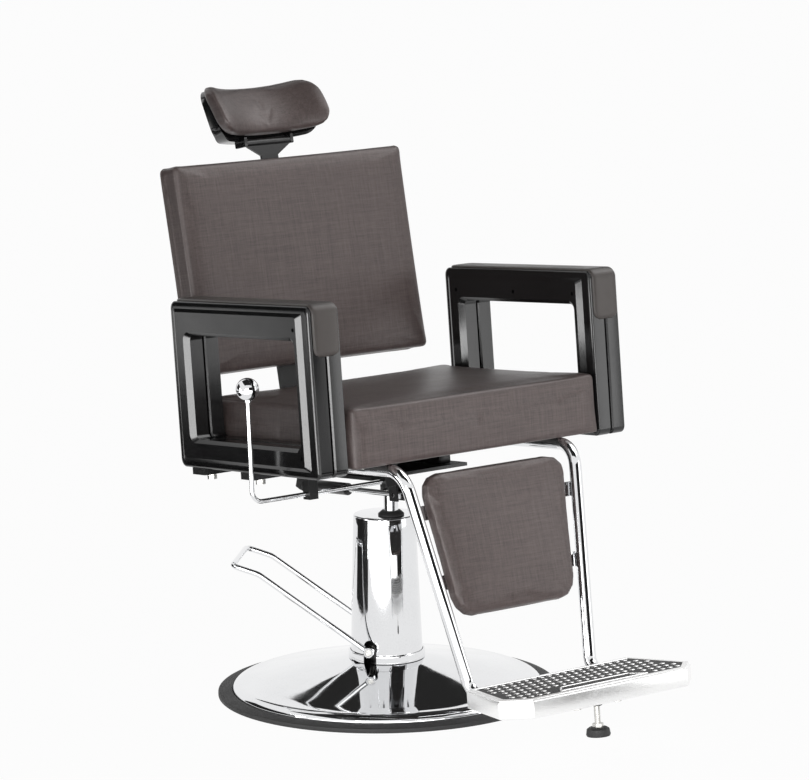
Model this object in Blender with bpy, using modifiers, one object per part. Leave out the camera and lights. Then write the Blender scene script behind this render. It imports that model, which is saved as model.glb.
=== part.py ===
"""Hydraulic barber chair, built as separate solids in metres, +Z up, facing -Y."""
import math

import bmesh
import bpy
from mathutils import Matrix, Vector

# Driving dimensions, in metres and radians
FIT = 0.0003
ROUND_NEAR = 0.3
SEAT_TILT = math.radians(4.75)

# Round foot
RING_RADIUS = 0.300
RING_WIDTH = 0.0255
RING_HEIGHT = 0.0115
RING_EDGE_HEIGHT = 0.0065
RING_ROUND = 0.0025
FOOT_SIDES = 56
PLATE_THICK = 0.006
DOME_WALL = 0.002
DOME_BRIM_WIDTH = 0.022
DOME_BRIM_HEIGHT = 0.024
DOME_TOP = 0.0645
DOME_HOLE_RADIUS = 0.056

# Pump column
COVER_FOOT_RADIUS = 0.064
COVER_TOP_RADIUS = 0.055
COVER_TOP = 0.320
COVER_WALL = 0.002
COVER_EDGE = 0.003
COVER_SIDES = 40
BAND_THICK = 0.0035
BAND_EDGE = 0.0012
BAND_HEIGHT = 0.014
PUMP_RADIUS = 0.046
PUMP_TOP_GAP = 0.010
ROD_RADIUS = 0.013
ROD_FORWARD = 0.020
ROD_FLOOR = 0.016
SEAL_RADIUS = 0.023
SEAL_HEIGHT = 0.009
SEAL_LIP = 0.003
LIFT_DOWN = 0.030
LIFT_STOP_GAP = 0.005
COLLAR_RADIUS = 0.0185
COLLAR_HEIGHT = 0.015
HUB_RADIUS = 0.020
HUB_HEIGHT = 0.0204
ROD_IN_HUB = 0.0143

# Pump pedal
PEDAL_HEADING = math.radians(136)
PEDAL_PIVOT_OUT = 0.022
PEDAL_PIVOT_HEIGHT = 0.087
PEDAL_ROD_RADIUS = 0.005
PEDAL_REACH = 0.192
PEDAL_RISE = 0.138
PEDAL_TIP_REACH = 0.046
PEDAL_TIP_RISE = 0.015
PEDAL_BEND_RADIUS = 0.045
PEDAL_CORNER_RADIUS = 0.013
PEDAL_EYE_RADIUS = 0.0095
PEDAL_EYE_WIDTH = 0.010
PEDAL_SIDE_GAP = 0.0042
SHAFT_RADIUS = 0.006
SLOT_WIDTH = 0.023
SLOT_OVER_PIVOT = 0.005

# Seat frame, in the tilted seat's own axes from the mount plate's underside
MOUNT_HALF_WIDTH = 0.105
MOUNT_FRONT = -0.085
MOUNT_REAR = 0.105
MOUNT_THICK = 0.006
RAIL_X = 0.075
RAIL_WIDTH = 0.025
RAIL_HEIGHT = 0.0209
RAIL_FRONT_LEFT = -0.062
RAIL_FRONT_RIGHT = -0.108
RAIL_REAR = 0.150
BAR_DEPTH = 0.038
BAR_THICK = 0.012
BAR_EDGE = 0.002
BAR_PACKER = 0.0096
MIDDLE_BAR_Y = 0.040
ARM_BAR_FRONT_Y = -0.035
ARM_BAR_REAR_Y = 0.112
BOARD_THICK = 0.009
BOARD_INSET = 0.014
SEAT_HALF_WIDTH = 0.264
SEAT_FRONT = -0.2615
SEAT_REAR = 0.168
SEAT_THICK = 0.102
SEAT_CROWN = 0.005
SEAT_CORNER = 0.010
SEAT_EDGE = 0.008
SEAT_PULL = 0.003

# Arms
ARM_SEAT_GAP = 0.0015
ARM_WIDTH = 0.068
ARM_SEAM = 0.003
ARM_GROOVE = 0.0025
ARM_FRONT = -0.2535
ARM_REAR = 0.1605
ARM_HEIGHT = 0.288
ARM_CORNER = 0.013
ARM_FRONT_STILE = 0.0495
ARM_REAR_STILE = 0.0535
ARM_TOP_RAIL = 0.058
ARM_BOTTOM_RAIL = 0.050
ARM_WINDOW_CORNER = 0.010
ARM_EDGE = 0.005
ARM_RIM = 0.012
ARM_FRONT_RIM = 0.0295
ARM_SLOPE = 0.006
ARM_RISE = 0.0022
ARM_CHAMFER = 0.008
ARM_WALL = 0.003
PAD_WIDTH = 0.052
PAD_THICK = 0.0042
PAD_DROP = 0.085
PAD_REAR_GAP = 0.008
PAD_END_SHARE = 0.5
PAD_END_NARROWING = 0.15
PAD_SECTION = [(-0.5, 0.0), (-0.5, 0.45), (-0.44, 0.78), (-0.25, 0.95), (0.0, 1.0),
               (0.25, 0.95), (0.44, 0.78), (0.5, 0.45), (0.5, 0.0)]
BOLT_RADIUS = 0.005
BOLT_HEAD_RADIUS = 0.0085
BOLT_HEAD_HEIGHT = 0.010
BOLT_ENTRY = 0.002

# Leg frame, calf pad and footrest
LEG_RADIUS = 0.011
LEG_TOP_X = 0.1837
LEG_TOP_Y = -0.2862
LEG_FOOT_X = 0.129
LEG_FOOT_Y = -0.3611
LEG_TOP_BEND = 0.045
LEG_FOOT_BEND = 0.030
LEG_FRONT = -0.550
TRAY_DROP = 0.3215
TRAY_DEPTH = 0.029
TRAY_SKIN = 0.005
TRAY_WALL = 0.004
TRAY_REAR_Y = -0.406
TRAY_WIDE_Y = -0.533
TRAY_FRONT_Y = -0.572
TRAY_REAR_HALF = 0.174
TRAY_WIDE_HALF = 0.206
TRAY_FRONT_HALF = 0.166
TRAY_EDGE = 0.0025
TRAY_NOTCH_GAP = 0.002
MAT_INSET = 0.010
MAT_THICK = 0.0025
STRAP_Y = -0.530
STRAP_DEPTH = 0.030
STRAP_THICK = 0.005
TRAY_BOLT_X = 0.043
TRAY_BOLT_HEAD = 0.006
FOOT_STEM_RADIUS = 0.005
FOOT_DROP = 0.057
FOOT_PAD_RADIUS = 0.0205
FOOT_PAD_HEIGHT = 0.015
FOOT_PAD_ROUND = 0.003
FOOT_NUT_RADIUS = 0.0095
FOOT_NUT_HEIGHT = 0.006
FOOT_STEM_ABOVE = 0.008
CALF_CENTRE = 0.133
CALF_HALF_HEIGHT = 0.1235
CALF_TOP_HALF = 0.154
CALF_BOTTOM_HALF = 0.1255
CALF_CORNER = 0.036
CALF_FRONT = 0.014
CALF_BOARD_THICK = 0.0085
CALF_BOARD_INSET = 0.010
CALF_CROWN = 0.004
CALF_EDGE = 0.009
CALF_PULL = 0.001
CALF_STRAP_Z = 0.060
CALF_STRAP_HEIGHT = 0.025
CALF_STRAP_THICK = 0.004

# Back and its hinge
HINGE_Y = 0.185
HINGE_Z = 0.020
HINGE_PIN_RADIUS = 0.006
HINGE_BARREL_RADIUS = 0.013
HINGE_BLOCK_REACH = 0.016
BACK_LEAN = math.radians(7.1)
BACK_SIDE_INSET = 0.0135
BACK_RISE = 0.164
BACK_HEIGHT = 0.375
BACK_FRONT = -0.017
BACK_THICK = 0.052
BACK_CROWN = 0.004
BACK_CORNER = 0.010
BACK_EDGE = 0.009
BACK_PULL = 0.0012
BACK_BOARD_THICK = 0.008
BACK_BOARD_INSET = 0.010
BRACKET_HALF_WIDTH = 0.050
BRACKET_THICK = 0.006
BRACKET_TOP = 0.360
BRACKET_BEND_Z = 0.050
BRACKET_BEND_RADIUS = 0.030
SLEEVE_HALF_WIDTH = 0.026
SLEEVE_BOTTOM = 0.400
SLEEVE_TOP = 0.515
SLEEVE_WALL = 0.004

# Recline strut and lever
STRUT_X = -0.040
STRUT_ARM = 0.055
STRUT_SWING = math.radians(22.5)
STRUT_ARM_WIDTH = 0.008
STRUT_ARM_ROOT = 0.0091
STRUT_ARM_TIP = 0.0075
STRUT_PIN_RADIUS = 0.004
STRUT_EYE_RADIUS = 0.011
STRUT_EYE_WIDTH = 0.011
STRUT_EYE_SLACK = 0.0026
STRUT_RADIUS = 0.011
STRUT_ROD_RADIUS = 0.005
STRUT_ROD_EYE_RADIUS = 0.0088
STRUT_RELEASE_RADIUS = 0.0035
STRUT_FRONT_Y = -0.070
STRUT_BODY_FRONT = 0.075
STRUT_BODY_REAR = 0.190
STRUT_ROD_REAR = 0.095
STRUT_BORE_DEPTH = 0.080
STRUT_EAR_THICK = 0.004
LEVER_Y = -0.095
LEVER_Z = -0.003
LEVER_RADIUS = 0.004
LEVER_ARM_GAP = 0.0265
LEVER_IN_X = -0.034
LEVER_RISE = 0.192
LEVER_BACK = -0.009
LEVER_BEND = 0.020
LEVER_FINGER_WIDTH = 0.012
LEVER_FINGER_DEPTH = 0.008
KNOB_RADIUS = 0.0195
HOOK_ARM_INSET = 0.0595
HOOK_WIDTH = 0.018
HOOK_THICK = 0.004
HOOK_WALL = 0.0055

# Headrest
STEM_HALF_WIDTH = 0.018
STEM_THICK = 0.006
STEM_BOTTOM = 0.412
NECK_BOTTOM = 0.545
NECK_HALF_WIDTH = 0.047
TILT_Z = 0.570
TILT_BARREL_RADIUS = 0.0065
TILT_PIN_RADIUS = 0.003
TILT_EAR_THICK = 0.006
HEAD_HALF_WIDTH = 0.126
HEAD_BOTTOM = 0.583
HEAD_HEIGHT = 0.092
HEAD_FRONT = 0.040
HEAD_THICK = 0.030
HEAD_WRAP = 0.020
HEAD_EDGE = 0.013
HEAD_CROWN = 0.005
HEAD_END_RADIUS = 0.026
HEAD_LEAN = 0.55
SHELL_THICK = 0.012
SHELL_INSET = 0.004
SHELL_EDGE = 0.0054
SHELL_BOTTOM = 0.566

# Heights and places that follow from the sizes above
RING_INNER_RADIUS = RING_RADIUS - RING_WIDTH
COLLAR_BOTTOM = COVER_TOP + FIT + SEAL_HEIGHT + LIFT_DOWN + LIFT_STOP_GAP
HUB_BOTTOM = COLLAR_BOTTOM + COLLAR_HEIGHT + FIT
SEAT_ORIGIN = Vector((0.0, -ROD_FORWARD, HUB_BOTTOM + HUB_HEIGHT))
RAIL_BOTTOM = MOUNT_THICK + FIT
BAR_BOTTOM = RAIL_BOTTOM + RAIL_HEIGHT + FIT
BAR_TOP = BAR_BOTTOM + BAR_THICK
BOARD_BOTTOM = BAR_TOP + BAR_PACKER + FIT
SEAT_BOTTOM = BOARD_BOTTOM - FIT
ARM_BOTTOM = BAR_TOP + FIT
ARM_TOP = ARM_BOTTOM + ARM_HEIGHT
ARM_SEAM_X = SEAT_HALF_WIDTH + ARM_SEAT_GAP + ARM_WIDTH / 2
ARM_OUTER_X = ARM_SEAM_X + ARM_WIDTH / 2
LEG_TOP_Z = SEAT_BOTTOM - FIT - LEG_RADIUS
LEG_REAR = ARM_BAR_FRONT_Y - BAR_DEPTH / 2 - FIT
TRAY_UNDER = -TRAY_DROP - TRAY_SKIN
LEG_FOOT_Z = TRAY_UNDER - FIT - LEG_RADIUS
STRAP_TOP = LEG_FOOT_Z - LEG_RADIUS - FIT
STRAP_BOTTOM = STRAP_TOP - STRAP_THICK
PEDAL_HALF_WIDTH = COVER_FOOT_RADIUS + FIT + BAND_THICK + PEDAL_SIDE_GAP + PEDAL_EYE_WIDTH / 2
STRUT_Z = HINGE_Z - STRUT_ARM * (1 + math.cos(STRUT_SWING)) / 2
STRUT_REAR_Y = HINGE_Y + STRUT_ARM * math.sin(STRUT_SWING)
LEVER_OUT_X = -ARM_OUTER_X - LEVER_ARM_GAP
HOOK_X = HOOK_ARM_INSET - ARM_SEAM_X
BACK_HALF_WIDTH = SEAT_HALF_WIDTH - BACK_SIDE_INSET
BACK_REAR = BACK_FRONT + BACK_THICK
BRACKET_Y = BACK_REAR + FIT + BACK_BOARD_THICK + FIT + BRACKET_THICK / 2
STEM_Y = BACK_REAR + FIT + BACK_BOARD_THICK + FIT + SLEEVE_WALL + FIT + STEM_THICK / 2
SLEEVE_FRONT = BACK_REAR + FIT + BACK_BOARD_THICK + FIT
SLEEVE_REAR = STEM_Y + STEM_THICK / 2 + FIT + SLEEVE_WALL

for old in list(bpy.data.objects):
    bpy.data.objects.remove(old)

PARTS = bpy.data.collections.new("barber_chair")
CUTTERS = bpy.data.collections.new("cutters")
bpy.context.scene.collection.children.link(PARTS)
bpy.context.scene.collection.children.link(CUTTERS)


def new_material(name, colour, roughness, metallic=0.0):
    """A Principled material with one colour."""
    material = bpy.data.materials.new(name)
    material.use_nodes = True
    shader = material.node_tree.nodes["Principled BSDF"]
    shader.inputs["Base Color"].default_value = (*colour, 1.0)
    shader.inputs["Roughness"].default_value = roughness
    shader.inputs["Metallic"].default_value = metallic
    return material


CHROME = ("chrome", (0.80, 0.80, 0.82), 0.08, 1.0)
ZINC = ("zinc_steel", (0.60, 0.60, 0.58), 0.35, 1.0)
CAST = ("polished_aluminium", (0.82, 0.82, 0.82), 0.22, 1.0)
PAINT = ("black_painted_steel", (0.012, 0.012, 0.013), 0.38)
PLASTIC = ("black_plastic", (0.010, 0.010, 0.011), 0.25)
RUBBER = ("black_rubber", (0.014, 0.014, 0.014), 0.75)
LEATHER = ("taupe_upholstery", (0.135, 0.115, 0.107), 0.60)
SOFT_PAD = ("taupe_soft_pad", (0.070, 0.060, 0.056), 0.45)
WOOD = ("plywood", (0.42, 0.29, 0.16), 0.75)


def new_frame(name, location, rotation=(0.0, 0.0, 0.0), parent=None):
    """An empty that holds the axes of one moving or tilted group."""
    empty = bpy.data.objects.new(name, None)
    PARTS.objects.link(empty)
    empty.location = location
    empty.rotation_euler = rotation
    empty.parent = parent
    return empty


def place(name, data, finish, parent):
    """Links new data as a named sub-part, or as a cutter where it has no finish."""
    part = bpy.data.objects.new(name, data)
    if finish is None:
        CUTTERS.objects.link(part)
        part.hide_render = True
        part.display_type = "WIRE"
    else:
        PARTS.objects.link(part)
        data.materials.append(new_material(name + "_" + finish[0], *finish[1:]))
    part.parent = parent
    return part


def place_mesh(name, bm, finish, parent):
    """Turns a closed bmesh into a sub-part with its faces outward."""
    bmesh.ops.recalc_face_normals(bm, faces=bm.faces)
    mesh = bpy.data.meshes.new(name)
    bm.to_mesh(mesh)
    bm.free()
    return place(name, mesh, finish, parent)


def soften(part, width, segments=2):
    """Rounds the sharp edges of a sub-part."""
    bevel = part.modifiers.new("rounded_edges", "BEVEL")
    bevel.width = width
    bevel.segments = segments
    bevel.limit_method = "ANGLE"
    bevel.angle_limit = math.radians(40)


def box(name, low, high, finish, parent=None, edge=0.0):
    """A block between two corners."""
    low, high = Vector(low), Vector(high)
    bm = bmesh.new()
    bmesh.ops.create_cube(bm, size=1.0)
    bmesh.ops.scale(bm, vec=high - low, verts=bm.verts)
    bmesh.ops.translate(bm, vec=(high + low) / 2, verts=bm.verts)
    part = place_mesh(name, bm, finish, parent)
    if edge:
        soften(part, edge)
    return part


def bar(name, start, end, radius, finish, parent=None, sides=24, edge=0.0):
    """A round bar between two points."""
    start, end = Vector(start), Vector(end)
    turn = Vector((0, 0, 1)).rotation_difference(end - start).to_matrix().to_4x4()
    bm = bmesh.new()
    bmesh.ops.create_cone(bm, cap_ends=True, segments=sides, radius1=radius, radius2=radius,
                          depth=(end - start).length, matrix=Matrix.Translation((start + end) / 2) @ turn)
    part = place_mesh(name, bm, finish, parent)
    if edge:
        soften(part, edge, 1)
    return part


def upright(name, x, y, low, high, radius, finish, parent=None, sides=24):
    """A round bar that stands along Z."""
    return bar(name, (x, y, low), (x, y, high), radius, finish, parent, sides)


def crosswise(name, low, high, y, z, radius, finish, parent=None, sides=24):
    """A round bar that lies along X."""
    return bar(name, (low, y, z), (high, y, z), radius, finish, parent, sides)


def lengthwise(name, x, low, high, z, radius, finish, parent=None, sides=24):
    """A round bar that lies along Y."""
    return bar(name, (x, low, z), (x, high, z), radius, finish, parent, sides)


def turned(name, profile, finish, parent=None, closed=False, steps=48):
    """A profile of (radius, height) points, outer side downwards, turned about Z."""
    bm = bmesh.new()
    verts = [bm.verts.new((radius, 0.0, height)) for radius, height in profile]
    for first, second in zip(verts, verts[1:]):
        bm.edges.new((first, second))
    if closed:
        bm.edges.new((verts[-1], verts[0]))
    mesh = bpy.data.meshes.new(name)
    bm.to_mesh(mesh)
    bm.free()
    part = place(name, mesh, finish, parent)
    screw = part.modifiers.new("turned", "SCREW")
    screw.steps = steps
    screw.render_steps = steps
    screw.use_merge_vertices = True
    screw.merge_threshold = 0.00001
    return part


def loft(name, rings, finish, parent=None, closed=False):
    """A skin over rings of equally many points, capped, or closed into a loop."""
    bm = bmesh.new()
    rows = [[bm.verts.new(point) for point in ring] for ring in rings]
    count = len(rows[0])
    pairs = list(zip(rows, rows[1:]))
    if closed:
        pairs.append((rows[-1], rows[0]))
    else:
        bm.faces.new(rows[0])
        bm.faces.new(rows[-1])
    for row, following in pairs:
        for i in range(count):
            j = (i + 1) % count
            bm.faces.new((row[i], row[j], following[j], following[i]))
    return place_mesh(name, bm, finish, parent)


def prism(name, outline, bottom, top, finish, parent=None, edge=0.0):
    """An outline of (x, y) points between two heights."""
    rings = [[(x, y, height) for x, y in outline] for height in (bottom, top)]
    part = loft(name, rings, finish, parent)
    if edge:
        soften(part, edge)
    return part


def filleted(points, radii, steps=5):
    """A path with each inner corner replaced by an arc of the given radius."""
    points = [Vector(point) for point in points]
    path = [points[0]]
    for before, corner, after, radius in zip(points, points[1:], points[2:], radii):
        into, out = (corner - before).normalized(), (after - corner).normalized()
        turn = into.angle(out)
        reach = radius * math.tan(turn / 2)
        begin = corner - into * reach
        normal = (out - into * into.dot(out)).normalized()
        for step in range(steps + 1):
            angle = turn * step / steps
            path.append(begin + into * radius * math.sin(angle) + normal * radius * (1 - math.cos(angle)))
    path.append(points[-1])
    return path


def tube(name, path, radius, finish, parent=None, resolution=4):
    """A round wire along a path."""
    curve = bpy.data.curves.new(name, "CURVE")
    curve.dimensions = "3D"
    curve.bevel_depth = radius
    curve.bevel_resolution = resolution
    curve.use_fill_caps = True
    spline = curve.splines.new("POLY")
    spline.points.add(len(path) - 1)
    for point, place_on_path in zip(spline.points, path):
        point.co = (*place_on_path, 1.0)
    return place(name, curve, finish, parent)


def meshed(part):
    """The same tube as a mesh, so that Booleans can use it."""
    name, parent = part.name, part.parent
    bpy.context.view_layer.update()
    evaluated = part.evaluated_get(bpy.context.evaluated_depsgraph_get())
    mesh = bpy.data.meshes.new_from_object(evaluated)
    in_parts = PARTS.objects.get(name) is not None
    bpy.data.objects.remove(part)
    bm = bmesh.new()
    bm.from_mesh(mesh)
    bmesh.ops.remove_doubles(bm, verts=bm.verts, dist=0.00001)
    bmesh.ops.recalc_face_normals(bm, faces=bm.faces)
    bm.to_mesh(mesh)
    bm.free()
    solid = bpy.data.objects.new(name, mesh)
    (PARTS if in_parts else CUTTERS).objects.link(solid)
    solid.parent = parent
    return solid


def combine(part, tool, operation):
    """A Boolean of a sub-part with a hidden tool."""
    boolean = part.modifiers.new(tool.name, "BOOLEAN")
    boolean.operation = operation
    boolean.solver = "EXACT"
    boolean.object = tool


def cut(part, *tools):
    """Takes the tools away from a sub-part."""
    for tool in tools:
        combine(part, tool, "DIFFERENCE")


def weld(part, *tools):
    """Joins the tools to a sub-part."""
    for tool in tools:
        combine(part, tool, "UNION")


def rounded_outline(low_x, high_x, low_y, high_y, corner, corner_steps=4, side_steps=1, pull=0.0):
    """A rounded rectangle whose sides may draw in between the corners."""
    corners = [(high_x - corner, high_y - corner, 0), (low_x + corner, high_y - corner, 1),
               (low_x + corner, low_y + corner, 2), (high_x - corner, low_y + corner, 3)]
    points = []
    for x, y, quarter in corners:
        for step in range(corner_steps + 1):
            angle = math.pi / 2 * (quarter + step / corner_steps)
            points.append(Vector((x + corner * math.cos(angle), y + corner * math.sin(angle))))
        following = corners[(quarter + 1) % 4]
        angle = math.pi / 2 * (quarter + 1)
        outward = Vector((math.cos(angle), math.sin(angle)))
        begin = points[-1].copy()
        end = Vector(following[:2]) + outward * corner
        for step in range(1, side_steps):
            share = step / side_steps
            points.append(begin.lerp(end, share) - outward * pull * math.sin(math.pi * share))
    return points


def cushion(name, half_x, half_y, thick, corner, edge, crown, pull, finish, parent, taper=0.0):
    """A crowned pad on its flat back at height 0, with rounded edges and drawn-in sides."""
    half_less = min(half_x, half_y)
    levels = [(edge * 0.35, 0.0), (edge * 0.10, edge * 0.10), (0.0, edge * 0.35), (0.0,
                                                                                   thick - crown - edge)]
    for step in range(1, 5):
        angle = math.pi / 2 * step / 4
        levels.append((edge * (1 - math.cos(angle)), thick - crown - edge * (1 - math.sin(angle))))
    for share in (0.25, 0.5, 0.75, 0.92):
        levels.append((edge + (half_less - edge) * share, thick - crown * (1 - share) ** 2))
    rings = []
    for inset, height in levels:
        round_corner = max(corner - inset, half_less * 0.02)
        outline = rounded_outline(inset - half_x, half_x - inset, inset - half_y, half_y - inset,
                                  round_corner, 3, 6, pull * max(0.0, 1 - inset / half_less))
        rings.append([(x * (1 + taper * y / half_y), y, height) for x, y in outline])
    return loft(name, rings, finish, parent)


def inset_outline(outline, distance):
    """A convex outline, listed counter-clockwise, moved inwards by a distance."""
    moved = []
    for before, point, after in zip(outline[-1:] + outline[:-1], outline, outline[1:] + outline[:1]):
        first = (Vector(point) - Vector(before)).normalized()
        second = (Vector(after) - Vector(point)).normalized()
        normal = Vector((-first.y - second.y, first.x + second.x)).normalized()
        sine = max(0.2, normal.dot(Vector((-first.y, first.x))))
        moved.append(tuple(Vector(point) + normal * distance / sine))
    return moved


def build_foot():
    """Base plate, rubber ring and chrome dome."""
    rim = RING_INNER_RADIUS - FIT
    upright("base_plate", 0, 0, 0, PLATE_THICK, rim, ZINC, sides=FOOT_SIDES)
    ring = [(RING_INNER_RADIUS, RING_HEIGHT - FIT),
            (RING_INNER_RADIUS + RING_ROUND, RING_HEIGHT),
            (RING_RADIUS - RING_ROUND, RING_EDGE_HEIGHT + RING_ROUND),
            (RING_RADIUS, RING_EDGE_HEIGHT),
            (RING_RADIUS, RING_ROUND / 2),
            (RING_RADIUS - RING_ROUND / 2, 0.0),
            (RING_INNER_RADIUS, 0.0)]
    turned("floor_ring", ring, RUBBER, closed=True, steps=FOOT_SIDES)
    underside = PLATE_THICK + FIT
    brim = rim - DOME_BRIM_WIDTH
    outer = [(DOME_HOLE_RADIUS, DOME_TOP)]
    for step in range(5):
        angle = math.pi / 2 * step / 4
        outer.append((brim + DOME_BRIM_WIDTH * math.sin(angle),
                      RING_HEIGHT + (DOME_BRIM_HEIGHT - RING_HEIGHT) * math.cos(angle)))
    outer.append((rim, underside))
    inner = [(rim - DOME_WALL, underside)]
    for radius, height in outer[-2:0:-1]:
        inner.append((radius - DOME_WALL, height - DOME_WALL))
    inner.append((DOME_HOLE_RADIUS, DOME_TOP - DOME_WALL))
    turned("base_dome", outer + inner, CHROME, closed=True, steps=FOOT_SIDES)


def dome_height(radius):
    """Height of the dome's cone at a radius."""
    brim = RING_INNER_RADIUS - FIT - DOME_BRIM_WIDTH
    share = (radius - DOME_HOLE_RADIUS) / (brim - DOME_HOLE_RADIUS)
    return DOME_TOP + (DOME_BRIM_HEIGHT - DOME_TOP) * share


def cover_radius(height):
    """Outer radius of the column cover at a height."""
    share = (height - DOME_TOP) / (COVER_TOP - DOME_TOP)
    return COVER_FOOT_RADIUS + (COVER_TOP_RADIUS - COVER_FOOT_RADIUS) * share


def build_column(pedal_frame):
    """Pump body, chrome cover with its foot band, seal and piston rod."""
    rod_y = -ROD_FORWARD
    pump = upright("pump_body", 0, 0, PLATE_THICK + FIT, COVER_TOP - COVER_WALL - PUMP_TOP_GAP, PUMP_RADIUS,
                   PAINT, sides=32)
    cut(pump,
        upright("pump_bore", 0, rod_y, ROD_FLOOR - FIT, COVER_TOP, ROD_RADIUS + FIT, None),
        lengthwise("pump_shaft_bore", 0, -PUMP_RADIUS * 2, PUMP_RADIUS * 2, 0, SHAFT_RADIUS + FIT, None,
                   pedal_frame, sides=20))

    foot = dome_height(COVER_FOOT_RADIUS - COVER_WALL) + FIT
    foot_radius = cover_radius(foot)
    cover = turned("column_cover",
                   [(0.0, COVER_TOP),
                    (COVER_TOP_RADIUS - COVER_EDGE, COVER_TOP),
                    (COVER_TOP_RADIUS, COVER_TOP - COVER_EDGE),
                    (foot_radius, foot),
                    (foot_radius - COVER_WALL, foot),
                    (COVER_TOP_RADIUS - COVER_WALL, COVER_TOP - COVER_EDGE - COVER_WALL),
                    (COVER_TOP_RADIUS - COVER_EDGE - COVER_WALL, COVER_TOP - COVER_WALL),
                    (0.0, COVER_TOP - COVER_WALL)], CHROME, steps=COVER_SIDES)
    rod_hole = upright("cover_rod_hole", 0, rod_y, COVER_TOP - 4 * COVER_WALL, COVER_TOP + COVER_WALL,
                       ROD_RADIUS + 4 * FIT, None)
    band_inner = foot_radius + FIT
    band_outer = band_inner + BAND_THICK
    band_foot = dome_height(band_inner) + FIT
    band_top = band_foot + BAND_HEIGHT
    band = turned("cover_band",
                  [(band_inner, band_top),
                   (band_outer - BAND_EDGE, band_top),
                   (band_outer, band_top - BAND_EDGE),
                   (band_outer, band_foot),
                   (band_inner, band_foot)], CHROME, closed=True, steps=COVER_SIDES)
    reach = COVER_FOOT_RADIUS * 2
    bottom = DOME_BRIM_HEIGHT - PEDAL_PIVOT_HEIGHT
    slot = box("slot_body", (-SLOT_WIDTH / 2, -reach, bottom), (SLOT_WIDTH / 2, reach, SLOT_OVER_PIVOT),
               None, pedal_frame)
    weld(slot, lengthwise("slot_arch", 0, -reach, reach, SLOT_OVER_PIVOT, SLOT_WIDTH / 2, None,
                          pedal_frame))
    cut(cover, rod_hole, slot)
    cut(band, box("band_gap", (-SLOT_WIDTH / 2, 0, bottom), (SLOT_WIDTH / 2, reach, SLOT_WIDTH),
                  None, pedal_frame))

    seal_bottom = COVER_TOP + FIT
    seal_bore = ROD_RADIUS + FIT
    seal = turned("rod_seal",
                  [(seal_bore, seal_bottom + SEAL_HEIGHT),
                   (seal_bore + SEAL_LIP, seal_bottom + SEAL_HEIGHT),
                   (SEAL_RADIUS, seal_bottom + SEAL_LIP),
                   (SEAL_RADIUS, seal_bottom),
                   (seal_bore, seal_bottom)], RUBBER, closed=True, steps=32)
    seal.location = (0, rod_y, 0)
    upright("piston_rod", 0, rod_y, ROD_FLOOR + LIFT_DOWN, HUB_BOTTOM + ROD_IN_HUB, ROD_RADIUS, CHROME,
            sides=32)


def build_pedal(frame):
    """The U-shaped pump pedal and its shaft, in axes with +X outwards along the pedal."""
    tip_x, tip_z = PEDAL_REACH + PEDAL_TIP_REACH, PEDAL_RISE + PEDAL_TIP_RISE
    half = PEDAL_HALF_WIDTH
    corners = [(0, -half, 0), (PEDAL_REACH, -half, PEDAL_RISE), (tip_x, -half, tip_z),
               (tip_x, half, tip_z), (PEDAL_REACH, half, PEDAL_RISE), (0, half, 0)]
    radii = [PEDAL_BEND_RADIUS, PEDAL_CORNER_RADIUS, PEDAL_CORNER_RADIUS, PEDAL_BEND_RADIUS]
    pedal = meshed(tube("pump_pedal", filleted(corners, radii), PEDAL_ROD_RADIUS, CHROME, frame,
                        resolution=3))
    eye_half = PEDAL_EYE_WIDTH / 2
    for y in (-half, half):
        weld(pedal, lengthwise("pedal_eye", 0, y - eye_half, y + eye_half, 0, PEDAL_EYE_RADIUS, None,
                               frame))
    for y in (-half, half):
        cut(pedal, lengthwise("pedal_bore", 0, y - PEDAL_EYE_WIDTH, y + PEDAL_EYE_WIDTH, 0,
                              SHAFT_RADIUS + FIT, None, frame, sides=20))
    reach = half + eye_half + FIT
    lengthwise("pedal_shaft", 0, -reach, reach, 0, SHAFT_RADIUS, ZINC, frame, sides=20)


def build_hub(seat):
    """Swivel collar and hub on the rod."""
    rod_y = -ROD_FORWARD
    bore_radius = ROD_RADIUS + FIT
    collar_top = COLLAR_BOTTOM + COLLAR_HEIGHT
    collar = turned("swivel_collar",
                    [(bore_radius, collar_top), (COLLAR_RADIUS, collar_top),
                     (COLLAR_RADIUS, COLLAR_BOTTOM), (bore_radius, COLLAR_BOTTOM)],
                    PLASTIC, closed=True, steps=32)
    collar.location = (0, rod_y, 0)
    hub = upright("swivel_hub", 0, rod_y, HUB_BOTTOM, HUB_BOTTOM + 2 * HUB_HEIGHT, HUB_RADIUS, ZINC,
                  sides=32)
    bore = upright("hub_bore", 0, rod_y, HUB_BOTTOM - HUB_HEIGHT, HUB_BOTTOM + ROD_IN_HUB + FIT,
                   bore_radius, None)
    above = box("hub_top_cut", (-HUB_RADIUS * 2, -HUB_RADIUS * 2, -FIT),
                (HUB_RADIUS * 2, HUB_RADIUS * 2, HUB_HEIGHT * 3), None, seat)
    cut(hub, bore, above)


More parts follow.
